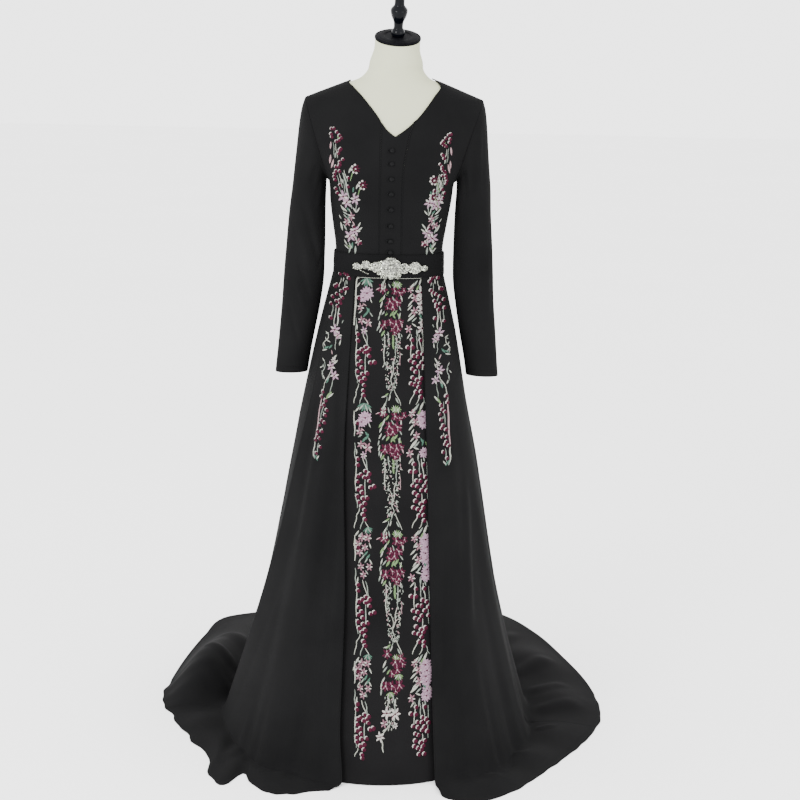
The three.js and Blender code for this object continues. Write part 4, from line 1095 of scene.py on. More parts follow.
def berry(x, z, size, turn=0):
    """Burgundy berry over a pale dot that shows as a crescent at its upper left, a painted highlight.
    """
    painted_highlight = dot_patch(x - size * 0.3, z + size * 0.2, size * 0.84, "cream", 0.8)
    return [painted_highlight, dot_patch(x, z, size * 0.88, "berry", 1.5)]


def star(x, z, size, turn, colour="mauve"):
    """Ragged flower: slim pointed petals, some of them paler, and a dark eye."""
    patches = []
    for i in range(6):
        long = size * (1.0, 0.84, 0.94)[i % 3]
        shade = "cream" if i in (1, 4) else colour
        patches.append(leaf_patch(x, z, turn + 60 * i, long, size * 0.36, shade))
    patches += petals(x, z, (turn + 90, turn + 270), size * 0.6, size * 0.22, "berry")
    return patches + [dot_patch(x, z, size * 0.15, "berry", 1.6, 8)]


def bloom(x, z, size, turn):
    """Full lilac flower whose petals touch, with two burgundy stitches."""
    sixth = range(0, 360, 60)
    patches = petals(x, z, [turn + 30 + i for i in sixth], size * 0.9, size * 0.4, "mauve")
    patches += petals(x, z, [turn + i for i in sixth], size, size * 0.42, "mauve")
    patches.append(leaf_patch(x, z, turn + 110, size * 0.7, size * 0.16, "berry"))
    patches.append(leaf_patch(x, z, turn + 250, size * 0.6, size * 0.16, "berry"))
    return patches + [dot_patch(x, z, size * 0.14, "berry", 1.6, 8)]


def floret(x, z, size, turn):
    """Burgundy flower of five pointed petals, with a pale eye and a few rose stitches."""
    rose = [turn + 36 + i for i in (0, 144, 288)]
    patches = petals(x, z, rose, size * 0.84, size * 0.24, "rose")
    wine = [turn + i for i in range(0, 360, 72)]
    patches += petals(x, z, wine, size * 1.04, size * 0.46, "wine")
    return patches + [dot_patch(x, z, size * 0.17, "cream", 1.7, 8)]


def daisy(x, z, size, turn):
    """Burgundy flower of eight petals, pale at the tips on its left."""
    patches = []
    for i in range(8):
        angle = math.radians(turn + 45 * i)
        px, pz = x + size * 0.8 * math.sin(angle), z - size * 0.8 * math.cos(angle)
        if px < x + 2:
            patches.append(dot_patch(px, pz, size * 0.24, "cream", 0.9, 8))
        patches.append(leaf_patch(x, z, turn + 45 * i, size, size * 0.3, "berry"))
    return patches + [dot_patch(x, z, size * 0.17, "cream", 1.7, 8)]


def fan(x, z, size, turn, colour="green", other="pale"):
    """Block of slim leaves that spread from one point."""
    patches = []
    for i, spread in enumerate((-60, -36, -16, 4, 24, 42, 62)):
        long = size * (0.72 + 0.28 * math.cos(math.radians(spread)))
        shade = other if i % 3 == 1 else colour
        patches.append(leaf_patch(x, z, turn + spread, long, size * 0.2, shade))
    return patches


def leaf(x, z, size, turn, colour):
    share = 0.3 if colour in ("green", "teal") else 0.23
    return [leaf_patch(x, z, turn, size, max(2, size * share), colour)]


BUILDERS = {"berry": berry, "star": star, "bloom": bloom, "floret": floret, "fan": fan}
BUILDERS["pink"] = partial(star, colour="rose")
BUILDERS["white"] = partial(star, colour="cream")
BUILDERS["fan_teal"] = partial(fan, colour="teal", other="mist")
for shade in ("pale", "mist", "green", "teal", "blush"):
    BUILDERS[shade] = partial(leaf, colour=shade)

# Rows of a chart: a motif has its distance down and across in millimetres, its size and
# its turn in degrees, and a stem both its ends, its sway, its width and its colour
Motif = namedtuple("Motif", "kind down across size turn")
Stem = namedtuple("Stem", "down0 across0 down1 across1 sway wide colour")


def motifs(*rows):
    return [Motif(*row) for row in rows]


def stems(*rows):
    return [Stem(*row) for row in rows]


def berries(size, *places):
    return [Motif("berry", down, across, size, 0) for down, across in places]


# Strips of the inner panel: left and right in one repeat, centre, and its last repeat
REPEAT = 257
LEFT_BLOOMS = motifs(
    ("fan_teal", -4, 4, 19, 0), ("pale", 4, -8, 15, -34), ("mist", 2, 12, 14, 30),
    ("bloom", 28, 5, 15, 10), ("bloom", 37, -2, 11, 30), ("pale", 38, 13, 11, 30),
    ("blush", 48, -4, 10, 60), ("pink", 57, -7, 10, 10), ("teal", 56, 5, 14, 38),
    ("teal", 58, 12, 15, -32), ("teal", 66, 8, 15, -40), ("mist", 62, -2, 12, -48),
    ("mist", 66, 12, 12, 36), ("pink", 84, -4, 10, 0), ("pink", 88, 10, 11, 36),
    ("blush", 88, 13, 11, 24), ("star", 103, 1, 9, 20), ("pale", 92, -14, 12, -6),
)
LEFT_PINKS = motifs(
    ("fan_teal", -4, 9, 14, 8), ("pale", 2, -10, 15, -30), ("mist", 6, -3, 14, -34),
    ("pink", 17, 9, 10, 20), ("pink", 18, -4, 10, 0), ("pale", 22, -16, 15, -20),
    ("mist", 28, -4, 12, -40), ("pink", 31, -11, 9, 30), ("pale", 28, 12, 13, 24),
    ("pink", 37, 2, 9, 50), ("pink", 48, -9, 10, 10), ("teal", 44, 8, 14, -34),
    ("teal", 50, 14, 15, -30), ("mist", 52, 2, 13, -40), ("mist", 58, 10, 13, -36),
    ("pale", 60, 12, 13, 30), ("pale", 60, -6, 12, -30), ("pink", 76, -5, 9, 0),
    ("pink", 77, 11, 9, 30), ("pink", 93, 0, 9, 10), ("pale", 98, -12, 14, -14),
    ("mist", 84, 4, 11, 30),
)
LEFT_BERRIES = berries(
    5.2,
    (38, -11), (114, -11), (126, -11), (138, 5), (142, 13), (144, -3), (149, -9), (150, 4),
    (148, 10), (161, -10), (157, 13), (171, 16), (169, 24), (170, -3), (176, -10), (182, -2),
    (190, -11), (195, 0), (192, 9), (202, -9), (205, 4), (210, -3), (218, 4), (228, 1), (237, 3),
)
LEFT_STEMS = stems(
    (14, -18, 66, -18, -1, 2.6, "pale"), (80, -17, 112, -16, 1, 2, "mist"),
    (108, -15, 180, -15, 1, 1.8, "pale"), (184, -16, 214, -12, -1, 2, "mist"),
    (104, -2, 140, 8, -1.5, 2, "pale"), (106, 4, 140, 12, 1.5, 2, "mist"),
    (150, 5, 196, 3, -1, 2.2, "mist"), (214, -8, 234, -15, 1, 1.8, "pale"),
    (230, -14, 256, -19, 1, 1.8, "pale"), (232, 0, 257, -7, 1, 1.8, "mist"),
    (238, 3, 257, 12, -1, 1.7, "pale"),
)
RIGHT_BLOOMS = motifs(
    ("pale", -6, 12, 20, -24), ("mist", -2, 3, 18, -30), ("pale", 4, -5, 20, -38),
    ("green", 8, 5, 16, -26), ("pink", 18, -13, 9, 0), ("bloom", 24, 9, 15, 10),
    ("pale", 26, -8, 15, -40), ("pink", 36, -5, 10, 30), ("bloom", 38, 12, 14, 40),
    ("pale", 40, -10, 16, -42), ("bloom", 52, 9, 14, 0), ("pale", 50, -9, 15, -34),
    ("pink", 64, -5, 10, 10), ("bloom", 64, 10, 11, 24), ("pale", 66, -9, 13, -40),
    ("pale", 70, -3, 24, -46), ("mist", 76, 0, 15, -44), ("teal", 68, 4, 13, 30),
    ("teal", 72, 11, 14, -20), ("green", 76, 14, 12, 30), ("bloom", 86, 13, 12, 46),
    ("pink", 100, -19, 10, 20), ("pale", 88, -12, 13, 60), ("bloom", 99, 11, 13, 10),
    ("mist", 100, -2, 16, 0), ("pale", 108, -14, 14, -36), ("mist", 108, 8, 11, 20),
)
RIGHT_BERRIES = berries(
    5.2,
    (122, -10), (124, 8), (137, -19), (138, -10), (148, 3), (152, 12), (157, -6), (159, 2),
    (162, 16), (166, -15), (170, -6), (170, 9), (180, 15), (182, -11), (188, -4), (178, 3),
    (200, -10), (206, 0), (203, 9), (212, -13), (216, -5), (222, 3), (213, 6), (230, -3),
    (231, 7), (240, 7),
)
RIGHT_STEMS = stems(
    (110, -13, 164, -14, 1, 2, "pale"), (114, -2, 142, 0, 1, 2, "mist"),
    (112, 4, 148, 8, -1, 2, "pale"), (120, 15, 196, 15, 1, 1.6, "mist"),
    (184, 3, 208, 3, 1, 1.8, "pale"), (224, -5, 254, -18, 1.5, 2, "pale"),
    (236, 7, 256, -4, -1, 1.8, "pale"), (238, 9, 257, 17, 1, 1.7, "mist"),
)
CENTRE_BLOOMS = motifs(
    ("fan", 13, 11, 15, 180), ("fan", 4, 13, 15, 0), ("pale", -6, -12, 14, -24),
    ("mist", 2, -6, 13, 20), ("mist", 2, -17, 16, 6), ("pale", 4, -12, 18, -8),
    ("pale", 6, -19, 18, 4), ("mist", 2, 9, 12, 0), ("blush", 14, -23, 10, -60),
    ("floret", 16, -17, 12, 0), ("green", 20, -4, 12, -30), ("floret", 22, 9, 11, 20),
    ("floret", 25, 19, 9, 50), ("floret", 21, 28, 8, 0), ("pale", 26, -11, 17, -30),
    ("green", 33, -14, 17, -34), ("mist", 30, 2, 13, 24), ("pale", 30, 22, 14, 6),
    ("pale", 42, -18, 15, -20), ("floret", 42, -3, 11, 10), ("floret", 44, 14, 12, 40),
    ("floret", 54, 5, 12, 0), ("floret", 57, -6, 8, 30), ("mist", 52, 18, 12, 30),
    ("pale", 58, -19, 14, -24), ("mist", 60, -11, 14, -40), ("green", 61, -3, 15, -34),
    ("green", 61, 7, 16, -28), ("green", 60, 15, 16, -40), ("pale", 66, 20, 14, -10),
    ("green", 66, 2, 13, 40), ("green", 67, 15, 13, 30), ("mist", 72, -24, 13, -10),
    ("pale", 82, -23, 14, -6), ("mist", 92, -24, 14, -14), ("floret", 85, 0, 10, 30),
    ("floret", 90, -13, 12, 0), ("floret", 89, 12, 12, 10), ("floret", 85, 21, 8, 40),
    ("floret", 98, 2, 8, 50), ("floret", 100, 15, 9, 10), ("floret", 106, 8, 9, 30),
    ("blush", 86, 24, 12, 10), ("pale", 98, -19, 12, -20), ("green", 102, -13, 14, -24),
    ("mist", 104, -6, 13, 10), ("pale", 106, 18, 12, 6), ("pale", 236, -8, 12, -70),
    ("green", 232, -4, 13, -50), ("pale", 236, 0, 12, -20), ("mist", 240, 10, 14, 24),
)
CENTRE_STEMS = stems(
    (110, -13, 170, -13, 1, 2.2, "pale"), (112, -4, 130, -4, -1, 2, "mist"),
    (110, 4, 140, 6, 1, 4.4, "green"), (112, 12, 158, 11, 1, 2.2, "mist"),
    (146, 19, 172, 20, 1, 1.6, "blush"), (156, 11, 200, 2, -2, 2, "pale"),
    (174, -3, 218, 6, 3, 1.8, "pale"), (216, 6, 238, -3, -1, 1.7, "mist"),
    (222, 7, 257, 22, -1, 1.8, "pale"), (238, -7, 257, -10, 1, 1.7, "mist"),
)
CENTRE_END_BLOOMS = motifs(
    ("fan", 8, 8, 13, 180), ("floret", -6, -12, 11, 0), ("floret", 3, 18, 11, 20),
    ("floret", 12, 5, 12, 0), ("floret", 14, 21, 10, 40), ("floret", 27, 11, 12, 10),
    ("floret", 34, 0, 10, 30), ("pale", 8, -14, 16, -24), ("mist", 20, -10, 16, -34),
    ("green", 26, -4, 13, -30), ("fan", 34, 14, 14, 0), ("pale", 40, -16, 15, -20),
    ("floret", 58, -13, 11, 0), ("floret", 57, 1, 11, 30), ("floret", 57, 15, 12, 10),
    ("floret", 68, 8, 9, 20), ("pale", 50, -22, 15, -4), ("mist", 62, -21, 14, -12),
    ("fan", 70, -3, 13, 6), ("mist", 76, 4, 14, 0), ("pale", 80, -6, 13, 10),
    ("pale", 82, 8, 14, -12), ("white", 110, -10, 13, 0), ("white", 113, 8, 14, 30),
    ("mist", 100, -2, 12, 0), ("pink", 131, -13, 10, 10), ("pale", 128, 6, 12, 30),
    ("white", 134, 9, 8, 10), ("pale", 140, -8, 11, -50), ("white", 158, -20, 11, 10),
    ("pale", 150, -14, 11, -60),
)
CENTRE_END_STEMS = stems(
    (84, -7, 112, -9, 1, 2.2, "pale"), (84, 6, 116, 8, -1, 2.4, "mist"),
    (126, 2, 156, -18, 1, 2, "pale"), (162, -18, 186, -13, 1.5, 2.6, "pale"),
)
# Vine beside the opening: down from its top, across from its middle line
VINE_MOTIFS = motifs(
    ("pale", 5, -1, 10, -10), ("mist", 10, 6, 10, 10), ("blush", 22, -14, 9, -20),
    ("pale", 30, 9, 11, -20), ("mist", 40, -6, 11, 20), ("mist", 102, 9, 9, 150),
    ("star", 117, -2, 14, 4), ("star", 128, 6, 9, 40), ("blush", 122, 2, 13, 14),
    ("mist", 128, 13, 9, -40), ("pale", 136, 12, 12, -14), ("pale", 124, -22, 9, 60),
    ("mist", 127, -14, 8, -70), ("pale", 136, -21, 8, 20), ("pale", 140, -17, 9, 70),
    ("pale", 148, -22, 9, 30), ("teal", 148, -4, 13, -46), ("teal", 152, -11, 12, -60),
    ("pale", 160, -12, 12, -70), ("blush", 160, -3, 10, 20), ("pale", 178, 4, 14, 150),
    ("white", 180, 4, 7, 20), ("star", 192, 1, 12, 20), ("pale", 186, 8, 12, 150),
    ("pale", 180, -20, 9, 30), ("mist", 190, -16, 8, 0), ("pale", 196, -17, 8, -40),
    ("mist", 206, -17, 9, 10), ("pale", 214, -14, 9, 20), ("star", 211, 12, 11, 50),
    ("mist", 214, 2, 12, -30), ("teal", 230, -3, 13, 160), ("green", 260, 3, 19, 138),
    ("pale", 258, 6, 17, 132), ("mist", 286, 0, 9, 20), ("pale", 322, 2, 9, 10),
    ("teal", 380, -4, 13, 38), ("pale", 388, 2, 12, 146), ("mist", 378, -7, 11, 10),
)
VINE_BERRIES = berries(
    4.5,
    (1, -9), (-2, -1), (1, 6), (8, 11), (27, -16), (24, -12), (31, 5), (27, 10), (36, -1),
    (42, -9), (49, -18), (50, 4), (57, -8), (56, -1), (61, 0), (65, -18), (67, -5), (86, 4),
    (93, -14), (247, -8), (260, -10), (265, 2), (274, 1), (280, -5), (283, 8), (294, 6), (306, 1),
    (311, 7), (316, -3), (330, 5), (331, -5), (340, -3), (346, 1), (350, -6), (362, 6), (376, -1),
)
VINE_STEMS = stems(
    (8, -6, 28, -8, 1, 1.6, "pale"), (12, 4, 32, 4, -1, 1.6, "mist"),
    (66, -15, 93, -13, 1, 1.8, "mist"), (70, -7, 108, -6, 1, 1.9, "pale"),
    (70, -1, 108, 1, -1, 3.2, "pale"), (132, 1, 158, 6, 1, 1.6, "mist"),
    (124, -16, 160, -20, 4, 1.8, "pale"), (182, -16, 222, -13, 3, 1.6, "mist"),
    (200, 3, 232, -8, 1, 2, "pale"), (220, 10, 248, 9, 1, 1.9, "mist"),
    (228, -9, 258, -10, 1, 1.8, "pale"), (254, -9, 350, -9, -1, 3.4, "blush"),
    (258, -2, 308, -2, 1, 1.7, "mist"), (350, -9, 384, -6, 1, 3, "pale"),
    (354, 1, 382, 1, -1, 1.8, "mist"),
)
# Spray on the bodice: down from its top, across from its middle line
SPRAY_MOTIFS = motifs(
    ("green", 16, 10, 10, 20), ("green", 22, 12, 8, -30), ("blush", 28, -7, 17, 0),
    ("blush", 56, -13, 19, 0), ("blush", 64, -7, 20, -14), ("mist", 50, 0, 13, 6),
    ("pale", 104, 4, 12, 10), ("teal", 134, 24, 12, 172), ("pale", 140, 22, 12, 150),
    ("star", 143, 0, 14, 10), ("star", 155, 5, 13, 44), ("blush", 146, 4, 13, 30),
    ("star", 147, 26, 12, 20), ("pale", 160, -10, 15, 40), ("pale", 165, -7, 14, 44),
    ("mist", 156, 14, 13, 24), ("pale", 164, 17, 13, 28), ("pale", 174, 25, 12, 146),
    ("teal", 166, 4, 12, 40), ("mist", 174, -8, 13, 56), ("mist", 180, -7, 12, 50),
    ("pale", 184, -18, 9, 30), ("pink", 185, 11, 10, 0), ("teal", 182, 2, 11, 30),
    ("pale", 188, 2, 13, 40), ("pink", 198, -2, 10, 30), ("blush", 194, 12, 11, 30),
    ("pale", 198, -16, 18, 22), ("mist", 202, -10, 16, 26), ("pale", 206, 22, 14, 150),
    ("pale", 214, 20, 13, 128), ("star", 214, 15, 13, 24), ("star", 227, -1, 15, 50),
    ("blush", 222, 6, 13, 40), ("mist", 226, 14, 14, 10), ("pink", 238, 18, 9, 60),
    ("pale", 236, -13, 14, 30), ("mist", 240, -4, 14, 14), ("teal", 240, 4, 14, -10),
    ("pale", 248, -16, 12, 44), ("pale", 246, 4, 15, -30), ("mist", 250, -3, 14, -20),
    ("mist", 246, 10, 18, 0), ("green", 248, -9, 11, 60),
)
SPRAY_BERRIES = berries(
    4.2,
    (1, -1), (3, 4), (12, -3), (20, -2), (10, 10), (17, 16), (24, 12), (28, 6), (21, 18),
    (46, 10), (44, 13), (52, 6), (65, 14), (70, 6), (76, 5), (81, -4), (80, 2), (90, 2), (90, -6),
    (96, -9), (102, -13), (108, -12), (102, 20), (121, 16), (120, -3), (129, -14), (137, -11),
    (206, 14), (241, 21),
)
SPRAY_STEMS = stems(
    (30, -2, 62, -4, 1, 1.6, "mist"), (32, 3, 62, 2, -1, 1.6, "pale"),
    (92, 9, 145, 13, 1, 4, "mist"), (94, 0, 124, 2, 1, 1.7, "pale"),
    (98, -5, 134, -4, 1, 1.6, "mist"), (86, 12, 110, 16, -1, 1.7, "pale"),
    (106, 6, 140, 6, 1, 1.6, "mist"), (152, 26, 174, 25, 1, 1.8, "mist"),
    (168, 8, 186, 14, 1, 1.6, "pale"),
)
LONE_FLOWERS = {-1: [(-72, 1257), (-56, 1224)], 1: [(93, 1236), (93, 1200)]}


def stem_on(middle, stem, flip, shake):
    line = []
    for share in (0, 0.35, 0.7, 1):
        down = mix(stem.down0, stem.down1, share)
        across = mix(stem.across0, stem.across1, share)
        across += stem.sway * math.sin(share * 2 * math.pi) + shake.uniform(-0.6, 0.6)
        x, z = middle(down)
        line.append((x + flip * across, z))
    return stem_patch(line, stem.wide, stem.colour)


def strip_patches(middle, rows, stem_rows, seed, flip=1, squeeze=1.0, narrow=1.0):
    """Motifs and stems set out along a middle line, each a little different."""
    shake = random.Random(seed)
    patches = []
    for stem in stem_rows:
        short = stem._replace(down0=stem.down0 * squeeze, down1=stem.down1 * squeeze)
        patches.append(stem_on(middle, short, flip * narrow, shake))
    for motif in rows:
        x, z = middle(motif.down * squeeze + shake.uniform(-1.2, 1.2))
        across = flip * narrow * (motif.across + shake.uniform(-1, 1))
        size = motif.size * shake.uniform(0.92, 1.08)
        turn = flip * (motif.turn + shake.uniform(-8, 8))
        patches += BUILDERS[motif.kind](x + across, z, size, turn)
    return patches


def loose_stitches(middle, top, bottom, left, right, count, seed):
    """Small leaves and knots scattered round the hanging stems."""
    shake = random.Random(seed)
    patches = []
    for _ in range(count):
        down = shake.uniform(top, bottom)
        narrow = mix(1, 0.45, (down - top) / (bottom - top))
        x, z = middle(down)
        x += mix((left + right) / 2, shake.choice((left, right)), shake.random() ** 0.6 * narrow)
        colour = shake.choice(("pale", "pale", "mist", "mist", "blush"))
        if shake.random() < 0.4:
            patches.append(dot_patch(x, z, shake.uniform(0.9, 1.5), colour, 0.7, 6))
        else:
            turn = shake.uniform(-70, 70)
            patches.append(leaf_patch(x, z, turn, shake.uniform(4, 8), 2.1, colour))
    return patches


def sew(name, patches, place):
    """Lay patches on the cloth and join them into one piece."""
    x, z, high, uv = (
        np.concatenate([getattr(patch, part) for patch in patches]) for part in ("x", "z", "high", "uv")
    )
    layer = np.concatenate([np.full(len(p.x), i / len(patches)) for i, p in enumerate(patches)])
    points, normals = place(x, z)
    rise = CLOTH_HALF - THREAD_SINK + high + layer * THREAD_LAYERS
    faces, colours, base = [], [], 0
    for patch in patches:
        faces += [tuple(int(i) + base for i in face) for face in patch.faces]
        colours += [THREAD_NAMES.index(patch.colour)] * len(patch.faces)
        base += len(patch.x)
    vertices = points + normals * rise[:, None]
    return add_mesh(name, vertices, faces, list(THREADS.values()), colours, uv, sharp=0)


# Middle lines of the three strips on the inner panel
STRIP_LINES = table(
    "z left centre right",
    (40, -33, 24, 90), (165, -34, 26, 88), (264, -35, 26, 86), (508, -41, 19, 81),
    (766, -48, 11, 69), (1023, -50, 6, 61),
)
STRIP_TOP_Z = 1021
STRIP_REPEATS = 4
LAST_SQUEEZE = 0.84
LAST_DOWN = 238
# Motifs, stems and reach of the loose stitches: top, bottom, left, right and number
CENTRE = (CENTRE_BLOOMS, CENTRE_STEMS, (108, 226, -20, 24, 150))
CENTRE_END = (CENTRE_END_BLOOMS, CENTRE_END_STEMS, (78, 140, -14, 12, 50))

# Lines sewn round the panel: width, and points across and down from its top line
BORDER_TOP_Z = STRIP_TOP_Z + 5
BORDER_LINES = [
    (1.1, [(-65, 0), (-20.48, 0), (28.48, 0), (73, 0)]),
    (2.6, [(-62, 1), (-67, 8), (-68, 50), (-70, 100)]),
    (2.6, [(72, 1), (76, 12), (77, 90), (77, 190)]),
]


def strip_middle(column, top):
    return lambda down: (float(read(STRIP_LINES, "z", top - down, column)), top - down)


def right_rows(repeat):
    """Flowers of the right strip: pale in the first repeat, fewer lilac ones in the second."""
    rows = RIGHT_BLOOMS + RIGHT_BERRIES
    if repeat == 0:
        return [row._replace(kind="white") if row.kind == "bloom" else row for row in rows]
    if repeat == 1:
        return [row for row in rows if row.kind != "bloom" or not 50 < row.down < 90]
    return rows


def panel_embroidery():
    patches = []
    for repeat in range(STRIP_REPEATS):
        last = repeat == STRIP_REPEATS - 1
        top = STRIP_TOP_Z - repeat * REPEAT
        squeeze = LAST_SQUEEZE if last else 1
        left_rows = (LEFT_BLOOMS if repeat < 2 else LEFT_PINKS) + LEFT_BERRIES
        for column, rows, stem_rows, seed in (
            ("left", left_rows, LEFT_STEMS, 10),
            ("right", right_rows(repeat), RIGHT_STEMS, 20),
        ):
            if last:
                rows = [row for row in rows if row.down < LAST_DOWN]
                stem_rows = [row for row in stem_rows if row.down1 < LAST_DOWN]
            middle = strip_middle(column, top)
            patches += strip_patches(middle, rows, stem_rows, seed + repeat, squeeze=squeeze)
        middle = strip_middle("centre", top)
        rows, stem_rows, loose = CENTRE_END if last else CENTRE
        patches += strip_patches(middle, rows, stem_rows, 30 + repeat)
        patches += loose_stitches(middle, *loose, 60 + repeat)
    for wide, points in BORDER_LINES:
        line = [(x, BORDER_TOP_Z - down) for x, down in points]
        patches.append(stem_patch(line, wide, "pale", 0.5, taper=False))
    return sew("embroidery_panel", patches, on_panel)


# Ends of the middle lines of the vines and of the sprays, left (-1) and right (1)
VINE_ENDS = {-1: ((-93, 1029), (-147, 640)), 1: ((99, 1026), (135, 636))}
VINE_LONG = 389
SPRAY_ENDS = {-1: ((-124, 1340), (-76, 1076)), 1: ((125, 1333), (86, 1075))}
SPRAY_NARROW = {-1: 0.95, 1: 0.74}
SPRAY_LONG = 264


def line_between(ends, long):
    (x0, z0), (x1, z1) = ends
    return lambda down: (mix(x0, x1, down / long), mix(z0, z1, down / long))


def vine_embroidery(side, name):
    middle = line_between(VINE_ENDS[side], VINE_LONG)
    patches = strip_patches(middle, VINE_MOTIFS + VINE_BERRIES, VINE_STEMS, 40 + side, flip=-side)
    return sew(name, patches, on_skirt)


def spray_embroidery(side, name):
    middle = line_between(SPRAY_ENDS[side], SPRAY_LONG)
    rows = SPRAY_MOTIFS + SPRAY_BERRIES
    narrow = SPRAY_NARROW[side]
    patches = strip_patches(middle, rows, SPRAY_STEMS, 50 + side, flip=-side, narrow=narrow)
    for x, z in LONE_FLOWERS[side]:
        base = x + side * 11
        stalk = [(x, z), (mix(x, base, 0.6), z - 9), (base, z - 26)]
        patches.append(stem_patch(stalk, 2.2, "green"))
        patches.append(leaf_patch(x + side * 10, z + 3, side * 20, 13, 3.6, "pale"))
        patches += daisy(x, z, 10.5, 12)
    return sew(name, patches, on_bodice)


# Brooch: a silver setting with cut stones
def frame_at(place, out):
    across = Vector((0, 0, 1)).cross(out).normalized()
    matrix = Matrix((across, out.cross(across), out)).transposed().to_4x4()
    matrix.translation = place
    return matrix


def frame_on_torso(x, z, offset):
    turn = turn_of_reach(x - lean(z), np.float64(z), False)
    out = Vector(torso_normal(turn, np.float64(z)))
    return frame_at(Vector(torso(turn, z)) + out * offset, out)


def stone_mesh(radius, high):
    """Cut stone: a girdle, a flat table and facets between."""
    points = []
    for share, height, shift in ((0.85, 0, 0), (1, 0.35, 0), (0.84, 0.72, 0.5), (0.52, 1, 0)):
        turn = circle(STONE_SIDES) + shift * 2 * math.pi / STONE_SIDES
        x, y = radius * share * np.cos(turn), radius * share * np.sin(turn)
        points.append(np.stack([x, y, np.full(STONE_SIDES, high * height)], -1))
    return np.concatenate(points), capped_faces(len(points), STONE_SIDES)


def dome_height(u, v):
    return np.sqrt(np.maximum(0, 1 - u * u - v * v)) * DOME_HIGH


def uneven(index, low, high):
    """Fixed but uneven number between two limits."""
    return low + (high - low) * ((index * GOLDEN + 0.37) % 1)


def boss_stones(boss):
    """Seat and radius of the stones on one boss, in rings round its middle."""
    is_wide = boss.wide > WIDE_BOSS
    spots = [(0.0, 0.0, MIDDLE_STONE if is_wide else min(boss.wide, boss.tall) * 0.32)]
    for share, radius in WIDE_STONES if is_wide else SMALL_STONES:
        around = 2 * math.pi * math.sqrt((boss.wide**2 + boss.tall**2) / 2) * share
        count = int(around / (radius * 2.1))
        for i in range(count):
            turn = (i + share + uneven(i, -0.16, 0.16)) / count * 2 * math.pi
            size = radius * uneven(i + 3, 0.82, 1.2)
            spots.append((share * math.cos(turn), share * math.sin(turn), size))
    return spots


def stone_place(boss, u, v, index):
    """Matrix that seats a stone on the dome of a boss, a little askew."""
    tilt_x = u / boss.wide * boss.deep * 1.6 + uneven(index, -STONE_ASKEW, STONE_ASKEW)
    tilt_y = v / boss.tall * boss.deep * 1.6 + uneven(index * 3 + 1, -STONE_ASKEW, STONE_ASKEW)
    out = Vector((tilt_x, tilt_y, 1)).normalized()
    local = out.to_track_quat("Z", "Y").to_matrix().to_4x4()
    high = dome_height(u, v) * boss.deep - STONE_SINK
    local.translation = Vector((u * boss.wide, v * boss.tall, high))
    return local


def boss_rings(boss):
    """Rings of a scalloped dome with a flat back."""
    angle = circle(BOSS_SIDES)
    rings = []
    for share in (1.0, 0.98, 0.9, 0.75, 0.55, 0.3, 0.08):
        height = 0.0 if share == 1.0 else dome_height(share, 0) * boss.deep
        edge = share * (1 + 0.05 * np.cos(angle * 10) * (share > 0.95))
        x, y = boss.wide * edge * np.cos(angle), boss.tall * edge * np.sin(angle)
        rings.append(np.stack([x, y, np.full(BOSS_SIDES, height)], -1))
    return np.concatenate(rings), capped_faces(len(rings), BOSS_SIDES)


class Heap:
    """Points and faces of many small parts that end up in one mesh."""

    def __init__(self):
        self.points, self.faces, self.count = [], [], 0

    def keep(self, points, faces, matrix):
        self.points.append(moved_by(points, matrix))
        self.faces.extend(tuple(int(i) + self.count for i in face) for face in faces)
        self.count += len(points)

    def mesh(self, name, material, sharp):
        return add_mesh(name, np.concatenate(self.points), self.faces, [material], sharp=sharp)


def filling_spots():
    """Place and size of the small stones between the bosses and along the strut."""
    spots = []
    for x, up, wide, tall, count in FILLS:
        for i in range(count):
            reach, turn = math.sqrt((i + 0.5) / count), i * GOLDEN * 2 * math.pi
            place = (x + wide * reach * math.cos(turn), up + tall * reach * math.sin(turn))
            spots.append((*place, FILL_STONE))
    (x0, up0), (x1, up1) = STRUT
    for share in np.linspace(0, 1, STRUT_STONES):
        spots.append((mix(x0, x1, share), mix(up0, up1, share), 1.0))
    return spots


def brooch():
    setting, stones = Heap(), Heap()
    plate = BELT_OUTSIDE + ORNAMENT_GAP
    for number, boss in enumerate(BOSSES):
        lift = WIDE_BOSS_LIFT if boss.wide > WIDE_BOSS else BOSS_LIFT
        matrix = frame_on_torso(boss.x, ORNAMENT_MID_Z + boss.up, plate + lift)
        setting.keep(*boss_rings(boss), matrix)
        for i, (u, v, radius) in enumerate(boss_stones(boss)):
            local = stone_place(boss, u, v, i + 7 * number)
            stones.keep(*stone_mesh(radius, radius * 0.8), matrix @ local)
    for i, (x, up, size) in enumerate(filling_spots()):
        size *= uneven(i + 5, 0.75, 1.2)
        points, faces = stone_mesh(size, size * 0.9)
        askew = Matrix.Rotation(uneven(i, -FILL_ASKEW, FILL_ASKEW), 4, "X")
        askew = askew @ Matrix.Rotation(uneven(i * 3, -FILL_ASKEW, FILL_ASKEW), 4, "Y")
        z = ORNAMENT_MID_Z + up
        stones.keep(points, faces, frame_on_torso(x, z, plate + FILL_LIFT) @ askew)
        setting.keep(points * (1.25, 1.25, 2), faces, frame_on_torso(x, z, plate + 0.1))
    base = setting.mesh("brooch_setting", SILVER, 40)
    gems = stones.mesh("brooch_stones", STONE, 0)
    gems.data.shade_flat()
    stands_for(base, "belt_ornament")


# Corded knot buttons with their loops
def button_ball():
    turn, rise = np.meshgrid(circle(28), np.linspace(-0.98, 0.98, 15) * QUARTER)
    weave = 0.045 * np.cos(4 * turn + 5 * rise) * np.cos(rise) + 0.03 * np.cos(4 * turn - 5 * rise)
    radius = BUTTON_RADIUS * (1 + weave)
    x, y = radius * np.cos(rise) * np.cos(turn), radius * np.cos(rise) * np.sin(turn)
    return np.stack([x, y, 0.46 * radius * (np.sin(rise) + 1.02)], -1)


